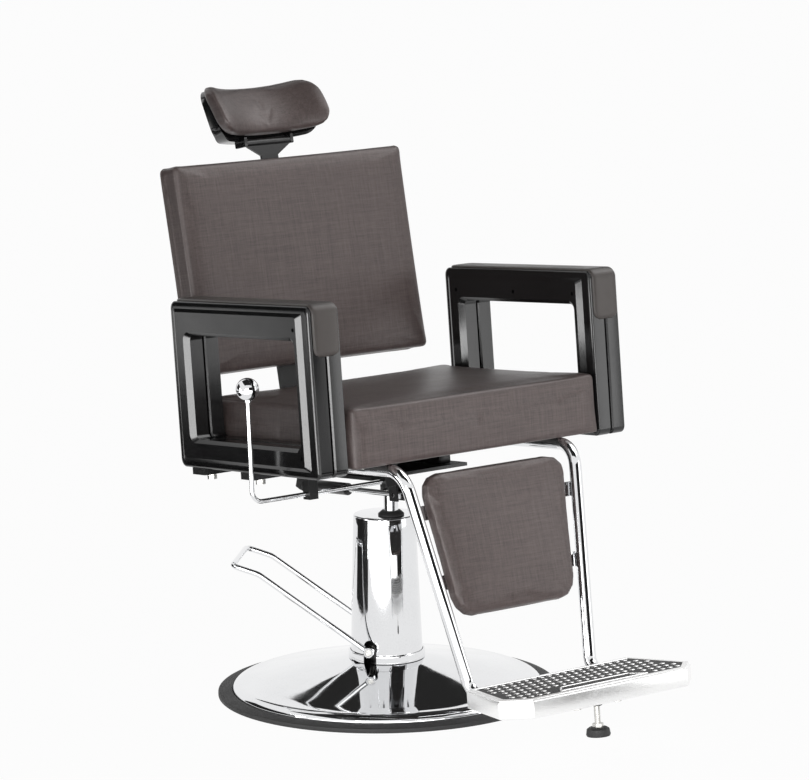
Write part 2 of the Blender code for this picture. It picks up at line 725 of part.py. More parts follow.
def build_seat_frame(seat):
    """Mount plate, rails, crossbars, seat board and seat cushion."""
    plate = box("mount_plate", (-MOUNT_HALF_WIDTH, MOUNT_FRONT, 0), (MOUNT_HALF_WIDTH, MOUNT_REAR,
                                                                     MOUNT_THICK), PAINT, seat)
    ear_low = STRUT_Z - STRUT_EYE_RADIUS
    ear_gap = STRUT_EYE_WIDTH / 2 + FIT
    for low_x in (STRUT_X - ear_gap - STRUT_EAR_THICK, STRUT_X + ear_gap):
        weld(plate, box("strut_ear", (low_x, STRUT_FRONT_Y - STRUT_EYE_RADIUS, ear_low),
                        (low_x + STRUT_EAR_THICK, STRUT_FRONT_Y + STRUT_EYE_RADIUS, MOUNT_THICK / 2), None,
                        seat))
    reach = ear_gap + 2 * STRUT_EAR_THICK
    cut(plate, crosswise("strut_ear_bore", STRUT_X - reach, STRUT_X + reach, STRUT_FRONT_Y, STRUT_Z,
                         STRUT_PIN_RADIUS + FIT, None, seat, sides=20))
    for word, x, front in (("left", RAIL_X, RAIL_FRONT_LEFT), ("right", -RAIL_X, RAIL_FRONT_RIGHT)):
        box("seat_rail_" + word, (x - RAIL_WIDTH / 2, front, RAIL_BOTTOM),
            (x + RAIL_WIDTH / 2, RAIL_REAR, RAIL_BOTTOM + RAIL_HEIGHT), PAINT, seat, edge=BAR_EDGE)
    board_half = SEAT_HALF_WIDTH - BOARD_INSET
    packer_top = BAR_TOP + BAR_PACKER
    box("middle_crossbar", (-board_half, MIDDLE_BAR_Y - BAR_DEPTH / 2, BAR_BOTTOM),
        (board_half, MIDDLE_BAR_Y + BAR_DEPTH / 2, packer_top), PAINT, seat, edge=BAR_EDGE)
    bar_half = ARM_OUTER_X - ARM_RISE - ARM_EDGE
    for word, y in (("front", ARM_BAR_FRONT_Y), ("rear", ARM_BAR_REAR_Y)):
        crossbar = box(word + "_crossbar", (-bar_half, y - BAR_DEPTH / 2, BAR_BOTTOM),
                       (bar_half, y + BAR_DEPTH / 2, BAR_TOP), PAINT, seat)
        packer_half = BAR_DEPTH / 2 - BAR_EDGE
        weld(crossbar, box("bar_packer", (-board_half, y - packer_half, BAR_TOP - BAR_THICK / 2),
                           (board_half, y + packer_half, packer_top), None, seat))
        for x in (-ARM_SEAM_X, ARM_SEAM_X):
            cut(crossbar, upright("crossbar_bolt_hole", x, y, BAR_BOTTOM - BAR_THICK, BAR_TOP + BAR_THICK,
                                  BOLT_RADIUS + FIT, None, seat, sides=20))
    board_front, board_rear = SEAT_FRONT + BOARD_INSET, SEAT_REAR - BOARD_INSET
    board_top = BOARD_BOTTOM + BOARD_THICK
    box("seat_board", (-board_half, board_front, BOARD_BOTTOM), (board_half, board_rear, board_top), WOOD, seat)
    pad = cushion("seat_cushion", SEAT_HALF_WIDTH, (SEAT_REAR - SEAT_FRONT) / 2, SEAT_THICK + SEAT_CROWN,
                  SEAT_CORNER, SEAT_EDGE, SEAT_CROWN, SEAT_PULL, LEATHER, seat)
    pad.location = (0, (SEAT_REAR + SEAT_FRONT) / 2, SEAT_BOTTOM)
    cut(pad, box("board_recess", (-board_half - FIT, board_front - FIT, SEAT_BOTTOM - BOARD_THICK),
                 (board_half + FIT, board_rear + FIT, board_top + FIT), None, seat))


def arm_outer_ring(x, inset):
    """One rounded loop of an arm frame, inside its outer edge."""
    outline = rounded_outline(ARM_FRONT + inset, ARM_REAR - inset, ARM_BOTTOM + inset, ARM_TOP - inset,
                              ARM_CORNER - inset / 2, 3)
    return [(x, y, z) for y, z in outline]


def arm_panel_ring(x, inset):
    """One loop of the raised panel's border, which lies further in along the front."""
    outline = rounded_outline(ARM_FRONT + ARM_FRONT_RIM + inset, ARM_REAR - ARM_RIM - inset,
                              ARM_BOTTOM + ARM_RIM + inset, ARM_TOP - ARM_RIM - inset,
                              ARM_WINDOW_CORNER / 2, 3)
    return [(x, y, z) for y, z in outline]


def arm_window_ring(x, outset):
    """One rounded loop of an arm frame, outside its window."""
    outline = rounded_outline(ARM_FRONT + ARM_FRONT_STILE - outset, ARM_REAR - ARM_REAR_STILE + outset,
                              ARM_BOTTOM + ARM_BOTTOM_RAIL - outset, ARM_TOP - ARM_TOP_RAIL + outset,
                              ARM_WINDOW_CORNER + outset, 3)
    return [(x, y, z) for y, z in outline]


def build_arm(seat, side, word):
    """Two hollow half shells, a soft pad on top and two bolts from below."""
    for half, name in ((1, "outer"), (-1, "inner")):
        def across(distance):
            return side * (ARM_SEAM_X + half * distance)
        seam = ARM_SEAM / 2
        face = ARM_WIDTH / 2
        rim = face - ARM_RISE
        rings = [arm_outer_ring(across(seam), ARM_GROOVE),
                 arm_outer_ring(across(seam + ARM_GROOVE), 0.0),
                 arm_outer_ring(across(rim - ARM_EDGE), 0.0),
                 arm_outer_ring(across(rim - ARM_EDGE * ROUND_NEAR), ARM_EDGE * ROUND_NEAR),
                 arm_outer_ring(across(rim), ARM_EDGE),
                 arm_panel_ring(across(rim), 0.0),
                 arm_panel_ring(across(face), ARM_SLOPE),
                 arm_window_ring(across(face), ARM_CHAMFER),
                 arm_window_ring(across(face - ARM_CHAMFER / 2), 0.0),
                 arm_window_ring(across(seam + ARM_GROOVE), 0.0),
                 arm_window_ring(across(seam), ARM_GROOVE),
                 arm_window_ring(across(seam), ARM_GROOVE + ARM_WALL),
                 arm_window_ring(across(rim - ARM_CHAMFER - ARM_WALL), ARM_WALL),
                 arm_window_ring(across(rim - ARM_WALL), ARM_CHAMFER + ARM_WALL),
                 arm_outer_ring(across(rim - ARM_WALL), ARM_EDGE + ARM_WALL),
                 arm_outer_ring(across(rim - ARM_EDGE - ARM_WALL), ARM_WALL),
                 arm_outer_ring(across(seam), ARM_GROOVE + ARM_WALL)]
        shell = loft(word + "_arm_" + name + "_shell", rings, PLASTIC, seat, closed=True)
        for y in (ARM_BAR_FRONT_Y, ARM_BAR_REAR_Y):
            cut(shell, upright("arm_bolt_hole", side * ARM_SEAM_X, y, ARM_BOTTOM - ARM_WALL,
                               ARM_BOTTOM + 3 * ARM_WALL, BOLT_RADIUS + FIT, None, seat, sides=20))
    x = side * ARM_SEAM_X
    for place_word, y in (("front", ARM_BAR_FRONT_Y), ("rear", ARM_BAR_REAR_Y)):
        head_top = BAR_BOTTOM - FIT
        bolt = upright(word + "_arm_" + place_word + "_bolt", x, y, head_top - BOLT_HEAD_HEIGHT, head_top,
                       BOLT_HEAD_RADIUS, ZINC, seat, sides=16)
        weld(bolt, upright("arm_bolt_shank", x, y, head_top - BOLT_HEAD_HEIGHT / 2,
                           ARM_BOTTOM + ARM_GROOVE + ARM_WALL + BOLT_ENTRY, BOLT_RADIUS, None, seat,
                           sides=20))
    build_arm_pad(seat, side, word)


def build_arm_pad(seat, side, word):
    """A crowned strip that runs along the arm's top and turns down over its front."""
    top, front = ARM_TOP + FIT, ARM_FRONT - FIT
    corner = ARM_CORNER + FIT
    turn = Vector((side * ARM_SEAM_X, front + corner, top - corner))
    top_length = ARM_REAR - PAD_REAR_GAP - turn.y
    path = []
    for step in range(7):
        path.append((turn + Vector((0, top_length * (1 - step / 7), corner)), Vector((0, 0, 1))))
    for step in range(6):
        angle = math.pi / 2 * step / 5
        out = Vector((0, -math.sin(angle), math.cos(angle)))
        path.append((turn + out * corner, out))
    for step in range(1, 5):
        path.append((turn + Vector((0, -corner, (corner - PAD_DROP) * step / 4)), Vector((0, -1, 0))))
    taper = {0: PAD_END_SHARE, len(path) - 1: PAD_END_SHARE}
    rings = []
    for index, (point, out) in enumerate(path):
        share = taper.get(index, 1.0)
        width = PAD_WIDTH * (1 - PAD_END_NARROWING * (1 - share))
        rings.append([point + Vector((width * across, 0, 0)) + out * PAD_THICK * height * share
                      for across, height in PAD_SECTION])
    loft(word + "_arm_pad", rings, SOFT_PAD, seat)


def build_legs(seat):
    """The bent tubes that carry the calf pad and the footrest."""
    for side, word in ((1, "left"), (-1, "right")):
        top_x, foot_x = side * LEG_TOP_X, side * LEG_FOOT_X
        corners = [(top_x, LEG_REAR, LEG_TOP_Z), (top_x, LEG_TOP_Y, LEG_TOP_Z),
                   (foot_x, LEG_FOOT_Y, LEG_FOOT_Z), (foot_x, LEG_FRONT, LEG_FOOT_Z)]
        path = filleted(corners, [LEG_TOP_BEND, LEG_FOOT_BEND], steps=7)
        tube(word + "_leg_tube", path, LEG_RADIUS, CHROME, seat)


def build_calf(seat):
    """Calf pad on its board, carried by two straps behind the leg tubes."""
    down = Vector((0, LEG_FOOT_Y - LEG_TOP_Y, LEG_FOOT_Z - LEG_TOP_Z))
    centre = Vector((0, LEG_TOP_Y, LEG_TOP_Z)) + down * CALF_CENTRE / down.length
    lean = math.atan2(down.y, down.z) + math.pi
    frame = new_frame("calf_axes", centre, (-lean, 0, 0), seat)
    spread = (LEG_TOP_X - LEG_FOOT_X) / down.length
    middle = LEG_TOP_X - spread * CALF_CENTRE
    strap_front = LEG_RADIUS + FIT
    for word, z in (("upper", CALF_STRAP_Z), ("lower", -CALF_STRAP_Z)):
        half = middle + spread * z
        box(word + "_calf_strap", (-half, strap_front, z - CALF_STRAP_HEIGHT / 2),
            (half, strap_front + CALF_STRAP_THICK, z + CALF_STRAP_HEIGHT / 2), CHROME, frame)
    mean_half = (CALF_TOP_HALF + CALF_BOTTOM_HALF) / 2
    taper = (CALF_TOP_HALF - CALF_BOTTOM_HALF) / 2 / mean_half
    board_rear = strap_front - FIT
    board_front = board_rear - CALF_BOARD_THICK
    board_half = mean_half - CALF_BOARD_INSET
    board_high = CALF_HALF_HEIGHT - CALF_BOARD_INSET
    pad = cushion("calf_pad", mean_half, CALF_HALF_HEIGHT, CALF_FRONT + board_rear, CALF_CORNER,
                  CALF_EDGE, CALF_CROWN, CALF_PULL, LEATHER, frame, taper)
    pad.location = (0, board_rear, 0)
    pad.rotation_euler = (math.pi / 2, 0, 0)
    boards = {}
    for name, finish, grow, rear in (("calf_board", WOOD, 0.0, board_rear),
                                     ("calf_recess", None, FIT, board_rear + CALF_BOARD_THICK)):
        outline = rounded_outline(-board_half - grow, board_half + grow, -board_high - grow,
                                  board_high + grow, CALF_CORNER - CALF_BOARD_INSET)
        boards[name] = loft(name, [[(x * (1 + taper * z / CALF_HALF_HEIGHT), y, z) for x, z in outline]
                                   for y in (board_front - grow, rear)], finish, frame)
    cut(pad, boards["calf_recess"])


def build_footrest(seat):
    """Cast tray on the leg tubes, its mat, and the strap, bolts and rubber foot below."""
    top = -TRAY_DROP
    outline = [(-TRAY_REAR_HALF, TRAY_REAR_Y), (-TRAY_WIDE_HALF, TRAY_WIDE_Y),
               (-TRAY_FRONT_HALF, TRAY_FRONT_Y), (TRAY_FRONT_HALF, TRAY_FRONT_Y),
               (TRAY_WIDE_HALF, TRAY_WIDE_Y), (TRAY_REAR_HALF, TRAY_REAR_Y)]
    tray = prism("footrest_tray", outline, top - TRAY_DEPTH, top, CAST, seat, edge=TRAY_EDGE)
    hollow = inset_outline(outline, TRAY_WALL)
    cut(tray, prism("tray_hollow", hollow, top - TRAY_DEPTH - TRAY_WALL, TRAY_UNDER, None, seat))
    for side, word in ((1, "left"), (-1, "right")):
        x = side * TRAY_BOLT_X
        cut(tray, box("tray_notch", (side * LEG_FOOT_X - LEG_RADIUS - TRAY_NOTCH_GAP, LEG_FOOT_Y,
                                     top - TRAY_DEPTH - TRAY_WALL),
                      (side * LEG_FOOT_X + LEG_RADIUS + TRAY_NOTCH_GAP, TRAY_REAR_Y - 2 * TRAY_WALL,
                       TRAY_UNDER), None, seat))
        weld(tray, upright("tray_boss", x, STRAP_Y, STRAP_TOP + FIT, TRAY_UNDER + TRAY_SKIN / 2,
                           BOLT_HEAD_RADIUS, None, seat, sides=20))
        head_top = STRAP_BOTTOM - FIT
        bolt = upright(word + "_tray_bolt", x, STRAP_Y, head_top - TRAY_BOLT_HEAD, head_top,
                       BOLT_HEAD_RADIUS, ZINC, seat, sides=6)
        weld(bolt, upright("tray_bolt_shank", x, STRAP_Y, head_top - TRAY_BOLT_HEAD / 2, STRAP_TOP,
                           BOLT_RADIUS, None, seat, sides=16))
    prism("footrest_mat", inset_outline(outline, MAT_INSET), top + FIT, top + FIT + MAT_THICK, RUBBER, seat)

    strap_half = LEG_FOOT_X + LEG_RADIUS
    strap = box("foot_strap", (-strap_half, STRAP_Y - STRAP_DEPTH / 2, STRAP_BOTTOM),
                (strap_half, STRAP_Y + STRAP_DEPTH / 2, STRAP_TOP), PAINT, seat)
    weld(strap, upright("strap_nut", 0, STRAP_Y, STRAP_BOTTOM - FOOT_NUT_HEIGHT,
                        STRAP_TOP - STRAP_THICK / 2, FOOT_NUT_RADIUS, None, seat, sides=6))
    for x, radius in ((0, FOOT_STEM_RADIUS), (TRAY_BOLT_X, BOLT_RADIUS), (-TRAY_BOLT_X, BOLT_RADIUS)):
        cut(strap, upright("strap_hole", x, STRAP_Y, STRAP_BOTTOM - 2 * FOOT_NUT_HEIGHT,
                           STRAP_TOP + STRAP_THICK, radius + FIT, None, seat, sides=20))

    pad_bottom = STRAP_BOTTOM - FOOT_DROP
    pad_top = pad_bottom + FOOT_PAD_HEIGHT
    foot = turned("foot_pad",
                  [(0, pad_top),
                   (FOOT_PAD_RADIUS - 2 * FOOT_PAD_ROUND, pad_top),
                   (FOOT_PAD_RADIUS - FOOT_PAD_ROUND / 2, pad_top - FOOT_PAD_ROUND),
                   (FOOT_PAD_RADIUS, pad_bottom + FOOT_PAD_ROUND),
                   (FOOT_PAD_RADIUS - FOOT_PAD_ROUND / 3, pad_bottom),
                   (0, pad_bottom)], RUBBER, seat, steps=28)
    foot.location = (0, STRAP_Y, 0)
    nut_bottom = pad_top + FIT
    stem = upright("foot_stem", 0, STRAP_Y, nut_bottom, nut_bottom + FOOT_NUT_HEIGHT, FOOT_NUT_RADIUS, ZINC,
                   seat, sides=6)
    weld(stem, upright("stem_screw", 0, STRAP_Y, nut_bottom + FOOT_NUT_HEIGHT / 2,
                       STRAP_TOP + FOOT_STEM_ABOVE, FOOT_STEM_RADIUS, None, seat, sides=20))


def build_hinge(seat):
    """The two blocks behind the rails and the pin that the back turns on."""
    block_in = RAIL_X - RAIL_WIDTH / 2 + FIT
    block_out = RAIL_X + RAIL_WIDTH / 2 - FIT
    for side, word in ((1, "left"), (-1, "right")):
        low, high = sorted((side * block_in, side * block_out))
        block = box(word + "_hinge_block", (low, RAIL_REAR + FIT, RAIL_BOTTOM),
                    (high, HINGE_Y + HINGE_BLOCK_REACH, HINGE_Z + HINGE_BARREL_RADIUS), PAINT, seat)
        cut(block, crosswise(word + "_block_bore", low - RAIL_WIDTH, high + RAIL_WIDTH, HINGE_Y, HINGE_Z,
                             HINGE_PIN_RADIUS + FIT, None, seat))
    crosswise("hinge_pin", -block_out - FIT, block_out + FIT, HINGE_Y, HINGE_Z, HINGE_PIN_RADIUS, ZINC,
              seat)


def build_bracket(back):
    """The bent plate up the middle of the back, with its barrel and the strut's arm."""
    path = filleted([(0, 0, 0), (0, BRACKET_Y, BRACKET_BEND_Z), (0, BRACKET_Y, BRACKET_TOP)],
                    [BRACKET_BEND_RADIUS], steps=4)
    rings = []
    for index, point in enumerate(path):
        following, before = path[min(index + 1, len(path) - 1)], path[max(index - 1, 0)]
        along = (following - before).normalized()
        aside = Vector((0, along.z, -along.y)) * BRACKET_THICK / 2
        left, right = point + Vector((BRACKET_HALF_WIDTH, 0, 0)), point - Vector((BRACKET_HALF_WIDTH, 0, 0))
        rings.append([right - aside, left - aside, left + aside, right + aside])
    bracket = loft("back_bracket", rings, PAINT, back)
    barrel_half = BRACKET_HALF_WIDTH + STRUT_ARM_WIDTH / 2
    weld(bracket, crosswise("bracket_barrel", -barrel_half, barrel_half, 0, 0, HINGE_BARREL_RADIUS, None,
                            back))
    swing = BACK_LEAN + STRUT_SWING
    arm_end = Vector((0, STRUT_ARM * math.sin(swing), -STRUT_ARM * math.cos(swing)))
    arm_x = STRUT_X - STRUT_EYE_WIDTH / 2 - FIT - STRUT_ARM_WIDTH
    root = Vector((0, arm_end.z, -arm_end.y)).normalized() * STRUT_ARM_ROOT
    tip = arm_end.normalized() * (STRUT_ARM + STRUT_ARM_TIP)
    taper = STRUT_ARM_TIP / STRUT_ARM_ROOT
    rings = []
    for x in (arm_x, arm_x + STRUT_ARM_WIDTH):
        rings.append([Vector((x, 0, 0)) + corner
                      for corner in (root, -root, tip - root * taper, tip + root * taper)])
    weld(bracket, loft("bracket_arm", rings, None, back))
    weld(bracket, crosswise("bracket_arm_pin", arm_x + STRUT_ARM_WIDTH / 2,
                            STRUT_X + STRUT_EYE_WIDTH / 2 + 4 * FIT, arm_end.y, arm_end.z, STRUT_PIN_RADIUS,
                            None, back, sides=16))
    cut(bracket, crosswise("barrel_bore", -barrel_half * 2, barrel_half * 2, 0, 0, HINGE_PIN_RADIUS + FIT,
                           None, back))


def build_back(seat):
    """Bracket, board, cushion and headrest sleeve, in axes on the hinge pin."""
    back = new_frame("back_axes", (0, HINGE_Y, HINGE_Z), (-BACK_LEAN, 0, 0), seat)
    build_bracket(back)
    pad = cushion("back_cushion", BACK_HALF_WIDTH, BACK_HEIGHT / 2, BACK_THICK, BACK_CORNER, BACK_EDGE,
                  BACK_CROWN, BACK_PULL, LEATHER, back)
    pad.location = (0, BACK_REAR, BACK_RISE + BACK_HEIGHT / 2)
    pad.rotation_euler = (math.pi / 2, 0, 0)
    board_half = BACK_HALF_WIDTH - BACK_BOARD_INSET
    outline = rounded_outline(-board_half, board_half, BACK_RISE + BACK_BOARD_INSET,
                              BACK_RISE + BACK_HEIGHT - BACK_BOARD_INSET, BACK_CORNER)
    board_front = BACK_REAR + FIT
    rings = [[(x, y, z) for x, z in outline] for y in (board_front, board_front + BACK_BOARD_THICK)]
    loft("back_board", rings, PLASTIC, back)
    sleeve = box("headrest_sleeve", (-SLEEVE_HALF_WIDTH, SLEEVE_FRONT, SLEEVE_BOTTOM),
                 (SLEEVE_HALF_WIDTH, SLEEVE_REAR, SLEEVE_TOP), PAINT, back)
    slot_half, slot_deep = STEM_HALF_WIDTH + FIT, STEM_THICK / 2 + FIT
    cut(sleeve, box("sleeve_slot", (-slot_half, STEM_Y - slot_deep, SLEEVE_BOTTOM - SLEEVE_WALL),
                    (slot_half, STEM_Y + slot_deep, SLEEVE_TOP + SLEEVE_WALL), None, back))
    return back


def build_strut(seat):
    """Lockable strut: rod pinned under the mount plate, cylinder eyed on the bracket's arm."""
    eye_half = STRUT_EYE_WIDTH / 2
    pin_half = eye_half + STRUT_EAR_THICK + 2 * FIT
    rod = lengthwise("strut_rod", STRUT_X, STRUT_FRONT_Y, STRUT_ROD_REAR, STRUT_Z, STRUT_ROD_RADIUS, CHROME,
                     seat, sides=16)
    weld(rod,
         crosswise("strut_rod_eye", STRUT_X - eye_half, STRUT_X + eye_half, STRUT_FRONT_Y, STRUT_Z,
                   STRUT_ROD_EYE_RADIUS, None, seat, sides=20),
         crosswise("strut_rod_pin", STRUT_X - pin_half, STRUT_X + pin_half, STRUT_FRONT_Y, STRUT_Z,
                   STRUT_PIN_RADIUS, None, seat, sides=16),
         lengthwise("strut_release", STRUT_X, STRUT_FRONT_Y - STRUT_EYE_RADIUS, STRUT_FRONT_Y, STRUT_Z,
                    STRUT_RELEASE_RADIUS, None, seat, sides=12))
    cylinder = lengthwise("strut_cylinder", STRUT_X, STRUT_BODY_FRONT, STRUT_BODY_REAR, STRUT_Z,
                          STRUT_RADIUS, PAINT, seat, sides=20)
    weld(cylinder,
         crosswise("strut_eye", STRUT_X - eye_half, STRUT_X + eye_half, STRUT_REAR_Y, STRUT_Z,
                   STRUT_EYE_RADIUS, None, seat),
         lengthwise("strut_neck", STRUT_X, STRUT_BODY_REAR - STRUT_RADIUS,
                    STRUT_REAR_Y - STRUT_ROD_EYE_RADIUS, STRUT_Z, STRUT_ROD_RADIUS, None, seat, sides=16))
    cut(cylinder,
        crosswise("strut_eye_bore", STRUT_X - 2 * eye_half, STRUT_X + 2 * eye_half, STRUT_REAR_Y, STRUT_Z,
                  STRUT_PIN_RADIUS + STRUT_EYE_SLACK, None, seat),
        lengthwise("strut_bore", STRUT_X, STRUT_BODY_FRONT - STRUT_RADIUS,
                   STRUT_BODY_FRONT + STRUT_BORE_DEPTH, STRUT_Z, STRUT_ROD_RADIUS + FIT, None, seat))


def build_lever(seat):
    """Recline lever with its ball knob, bearing and hook."""
    lever_axes = new_frame("lever_axes", (0, LEVER_Y, LEVER_Z), (0, 0, 0), seat)
    upward = Vector((0, LEVER_BACK, LEVER_RISE))
    knob_centre = Vector((LEVER_OUT_X, 0, 0)) + upward
    top = knob_centre - upward.normalized() * KNOB_RADIUS / 2
    path = filleted([top, (LEVER_OUT_X, 0, 0), (LEVER_IN_X, 0, 0)], [LEVER_BEND], steps=6)
    lever = meshed(tube("recline_lever", path, LEVER_RADIUS, CHROME, lever_axes, resolution=3))
    finger_half, finger_deep = LEVER_FINGER_WIDTH / 2, LEVER_FINGER_DEPTH / 2
    weld(lever, box("lever_finger", (STRUT_X - finger_half, -finger_deep,
                                     STRUT_Z - LEVER_Z - STRUT_ROD_RADIUS), (STRUT_X + finger_half,
                                                                             finger_deep, 0), None,
                                                                             lever_axes))
    bm = bmesh.new()
    bmesh.ops.create_uvsphere(bm, u_segments=20, v_segments=12, radius=KNOB_RADIUS)
    knob = place_mesh("lever_knob", bm, CHROME, lever_axes)
    knob.location = knob_centre
    cut(knob, bar("knob_socket", top + upward.normalized() * FIT, top - upward, LEVER_RADIUS + FIT, None,
                  lever_axes))

    low_z = LEVER_Z - LEVER_RADIUS - HOOK_WALL
    bearing = box("lever_bearing", (-RAIL_X - RAIL_WIDTH / 2, LEVER_Y - HOOK_WIDTH / 2, low_z),
                  (-RAIL_X + RAIL_WIDTH / 2, LEVER_Y + HOOK_WIDTH / 2 - FIT, RAIL_BOTTOM - FIT), PAINT,
                  seat)
    hook_top = BAR_BOTTOM - FIT
    low_x, high_x = HOOK_X - HOOK_WIDTH / 2, HOOK_X + HOOK_WIDTH / 2
    hook_half = LEVER_RADIUS + HOOK_WALL
    hook = box("lever_hook", (low_x, LEVER_Y - hook_half, low_z), (high_x, LEVER_Y + hook_half, hook_top),
               PAINT, seat)
    weld(hook, box("hook_flange", (low_x, LEVER_Y, hook_top - HOOK_THICK),
                   (high_x, ARM_BAR_FRONT_Y, hook_top), None, seat))
    for holder in (bearing, hook):
        cut(holder, crosswise(holder.name + "_bore", LEVER_OUT_X, LEVER_IN_X, LEVER_Y, LEVER_Z,
                              LEVER_RADIUS + FIT, None, seat, sides=20))


def head_section(x, front, rear, low, high, edge, steps):
    """One slice of the headrest, wrapped forwards at the ends and leaning back above its foot."""
    wrap = HEAD_WRAP * (x / HEAD_HALF_WIDTH) ** 2
    return [(x, y - wrap + HEAD_LEAN * max(0.0, z - HEAD_BOTTOM), z)
            for y, z in rounded_outline(front, rear, low, high, edge, steps)]


def build_headrest(back):
    """Flat stem with its flared neck, and the tilting shell and pad."""
    flare = TILT_Z - TILT_BARREL_RADIUS
    outline = [(-STEM_HALF_WIDTH, STEM_BOTTOM), (STEM_HALF_WIDTH, STEM_BOTTOM),
               (STEM_HALF_WIDTH, NECK_BOTTOM), (NECK_HALF_WIDTH, flare),
               (NECK_HALF_WIDTH, TILT_Z), (-NECK_HALF_WIDTH, TILT_Z),
               (-NECK_HALF_WIDTH, flare), (-STEM_HALF_WIDTH, NECK_BOTTOM)]
    rings = [[(x, y, z) for x, z in outline] for y in (STEM_Y - STEM_THICK / 2, STEM_Y + STEM_THICK / 2)]
    stem = loft("headrest_stem", rings, PAINT, back)
    ear_in = NECK_HALF_WIDTH + FIT
    ear_out = ear_in + TILT_EAR_THICK
    weld(stem, crosswise("stem_barrel", -NECK_HALF_WIDTH, NECK_HALF_WIDTH, STEM_Y, TILT_Z,
                         TILT_BARREL_RADIUS, None, back))
    cut(stem, crosswise("stem_bore", -ear_out, ear_out, STEM_Y, TILT_Z, TILT_PIN_RADIUS + FIT, None, back,
                        sides=16))

    pad_rear = HEAD_FRONT + HEAD_THICK
    shell_front = pad_rear + FIT
    shell_half = HEAD_HALF_WIDTH - SHELL_INSET
    top = HEAD_BOTTOM + HEAD_HEIGHT
    pad_rings, shell_rings = [], []
    end_starts = 1 - HEAD_END_RADIUS / HEAD_HALF_WIDTH
    shares = [0.0, end_starts / 3, 2 * end_starts / 3, end_starts]
    shares += [end_starts + (1 - end_starts) * math.sin(math.pi / 2 * step / 4) for step in range(1, 5)]
    for share in [-share for share in reversed(shares[1:])] + shares:
        beyond = max(0.0, (abs(share) - end_starts) / (1 - end_starts))
        swell = math.sqrt(max(0.0, 1 - beyond ** 2))
        trim = HEAD_END_RADIUS * (1 - swell)
        front = HEAD_FRONT - HEAD_CROWN * swell + HEAD_EDGE / 2 * (1 - swell)
        pad_rings.append(head_section(share * HEAD_HALF_WIDTH, front, pad_rear, HEAD_BOTTOM + trim,
                                      top - trim, HEAD_EDGE * (3 + swell) / 4, 4))
        shell_rings.append(head_section(share * shell_half, shell_front, shell_front + SHELL_THICK,
                                        SHELL_BOTTOM + trim, top - SHELL_INSET - trim, SHELL_EDGE, 2))
    loft("headrest_pad", pad_rings, LEATHER, back)
    shell = loft("headrest_shell", shell_rings, PLASTIC, back)
    for low in (-ear_out, ear_in):
        weld(shell, box("tilt_ear", (low, STEM_Y - TILT_BARREL_RADIUS, flare),
                        (low + TILT_EAR_THICK, shell_front + SHELL_THICK / 2, HEAD_BOTTOM - 4 * FIT), None,
                        back))
    cut(shell, crosswise("ear_bore", -ear_out - TILT_EAR_THICK, ear_out + TILT_EAR_THICK, STEM_Y, TILT_Z,
                         TILT_PIN_RADIUS + FIT, None, back, sides=16))
    crosswise("headrest_pin", -ear_out, ear_out, STEM_Y, TILT_Z, TILT_PIN_RADIUS, ZINC, back, sides=16)


def build_chair():
    """Every sub-part, from the floor up."""
    outward = Vector((math.cos(PEDAL_HEADING), math.sin(PEDAL_HEADING), 0))
    pivot = outward * PEDAL_PIVOT_OUT + Vector((0, 0, PEDAL_PIVOT_HEIGHT))
    pedal_axes = new_frame("pedal_axes", pivot, (0, 0, PEDAL_HEADING))
    seat_axes = new_frame("seat_axes", SEAT_ORIGIN, (-SEAT_TILT, 0, 0))
    build_foot()
    build_column(pedal_axes)
    build_pedal(pedal_axes)
    build_hub(seat_axes)
    build_seat_frame(seat_axes)
    for side, word in ((1, "left"), (-1, "right")):
        build_arm(seat_axes, side, word)
    build_legs(seat_axes)
    build_calf(seat_axes)
    build_footrest(seat_axes)
    build_hinge(seat_axes)
    back_axes = build_back(seat_axes)
    build_strut(seat_axes)
    build_lever(seat_axes)
    build_headrest(back_axes)


build_chair()
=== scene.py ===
# %% [markdown]
# # A hydraulic barber chair
# The chair stands on a chrome dome with a rubber rim. A pump column lifts the seat, black plastic
# arms hold taupe vinyl cushions between them, and a pair of chrome tubes carries the calf pad and
# the footrest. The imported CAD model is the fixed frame. This lesson dresses it: it gives every
# solid a procedural finish, and puts fuller shapes where the real chair is soft or mirror bright.

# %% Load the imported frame
import math

import bmesh
import bpy
from mathutils import Matrix, Vector


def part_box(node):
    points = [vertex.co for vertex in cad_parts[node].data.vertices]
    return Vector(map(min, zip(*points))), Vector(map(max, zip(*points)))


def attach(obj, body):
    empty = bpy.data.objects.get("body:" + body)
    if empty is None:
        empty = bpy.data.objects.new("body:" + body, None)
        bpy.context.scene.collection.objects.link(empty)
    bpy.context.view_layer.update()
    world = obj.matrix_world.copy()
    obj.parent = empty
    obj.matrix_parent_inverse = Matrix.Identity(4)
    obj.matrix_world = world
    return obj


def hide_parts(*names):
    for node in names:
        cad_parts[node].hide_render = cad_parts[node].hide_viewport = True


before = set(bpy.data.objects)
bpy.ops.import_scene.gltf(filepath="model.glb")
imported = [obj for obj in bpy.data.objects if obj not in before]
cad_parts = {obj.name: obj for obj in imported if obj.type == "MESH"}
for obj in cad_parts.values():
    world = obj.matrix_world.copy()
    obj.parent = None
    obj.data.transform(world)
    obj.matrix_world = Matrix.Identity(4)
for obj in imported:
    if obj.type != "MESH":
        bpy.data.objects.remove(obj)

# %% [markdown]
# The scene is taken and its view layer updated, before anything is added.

scene = bpy.context.scene
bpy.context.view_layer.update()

# %% [markdown]
# ## The camera
# The photograph was taken from a little above the seat with a long lens. Its place and angle were
# found by least squares from points of the chair, so they are written here as plain numbers. A
# camera can also be aimed with a constraint, but three turns keep the small roll of the picture.

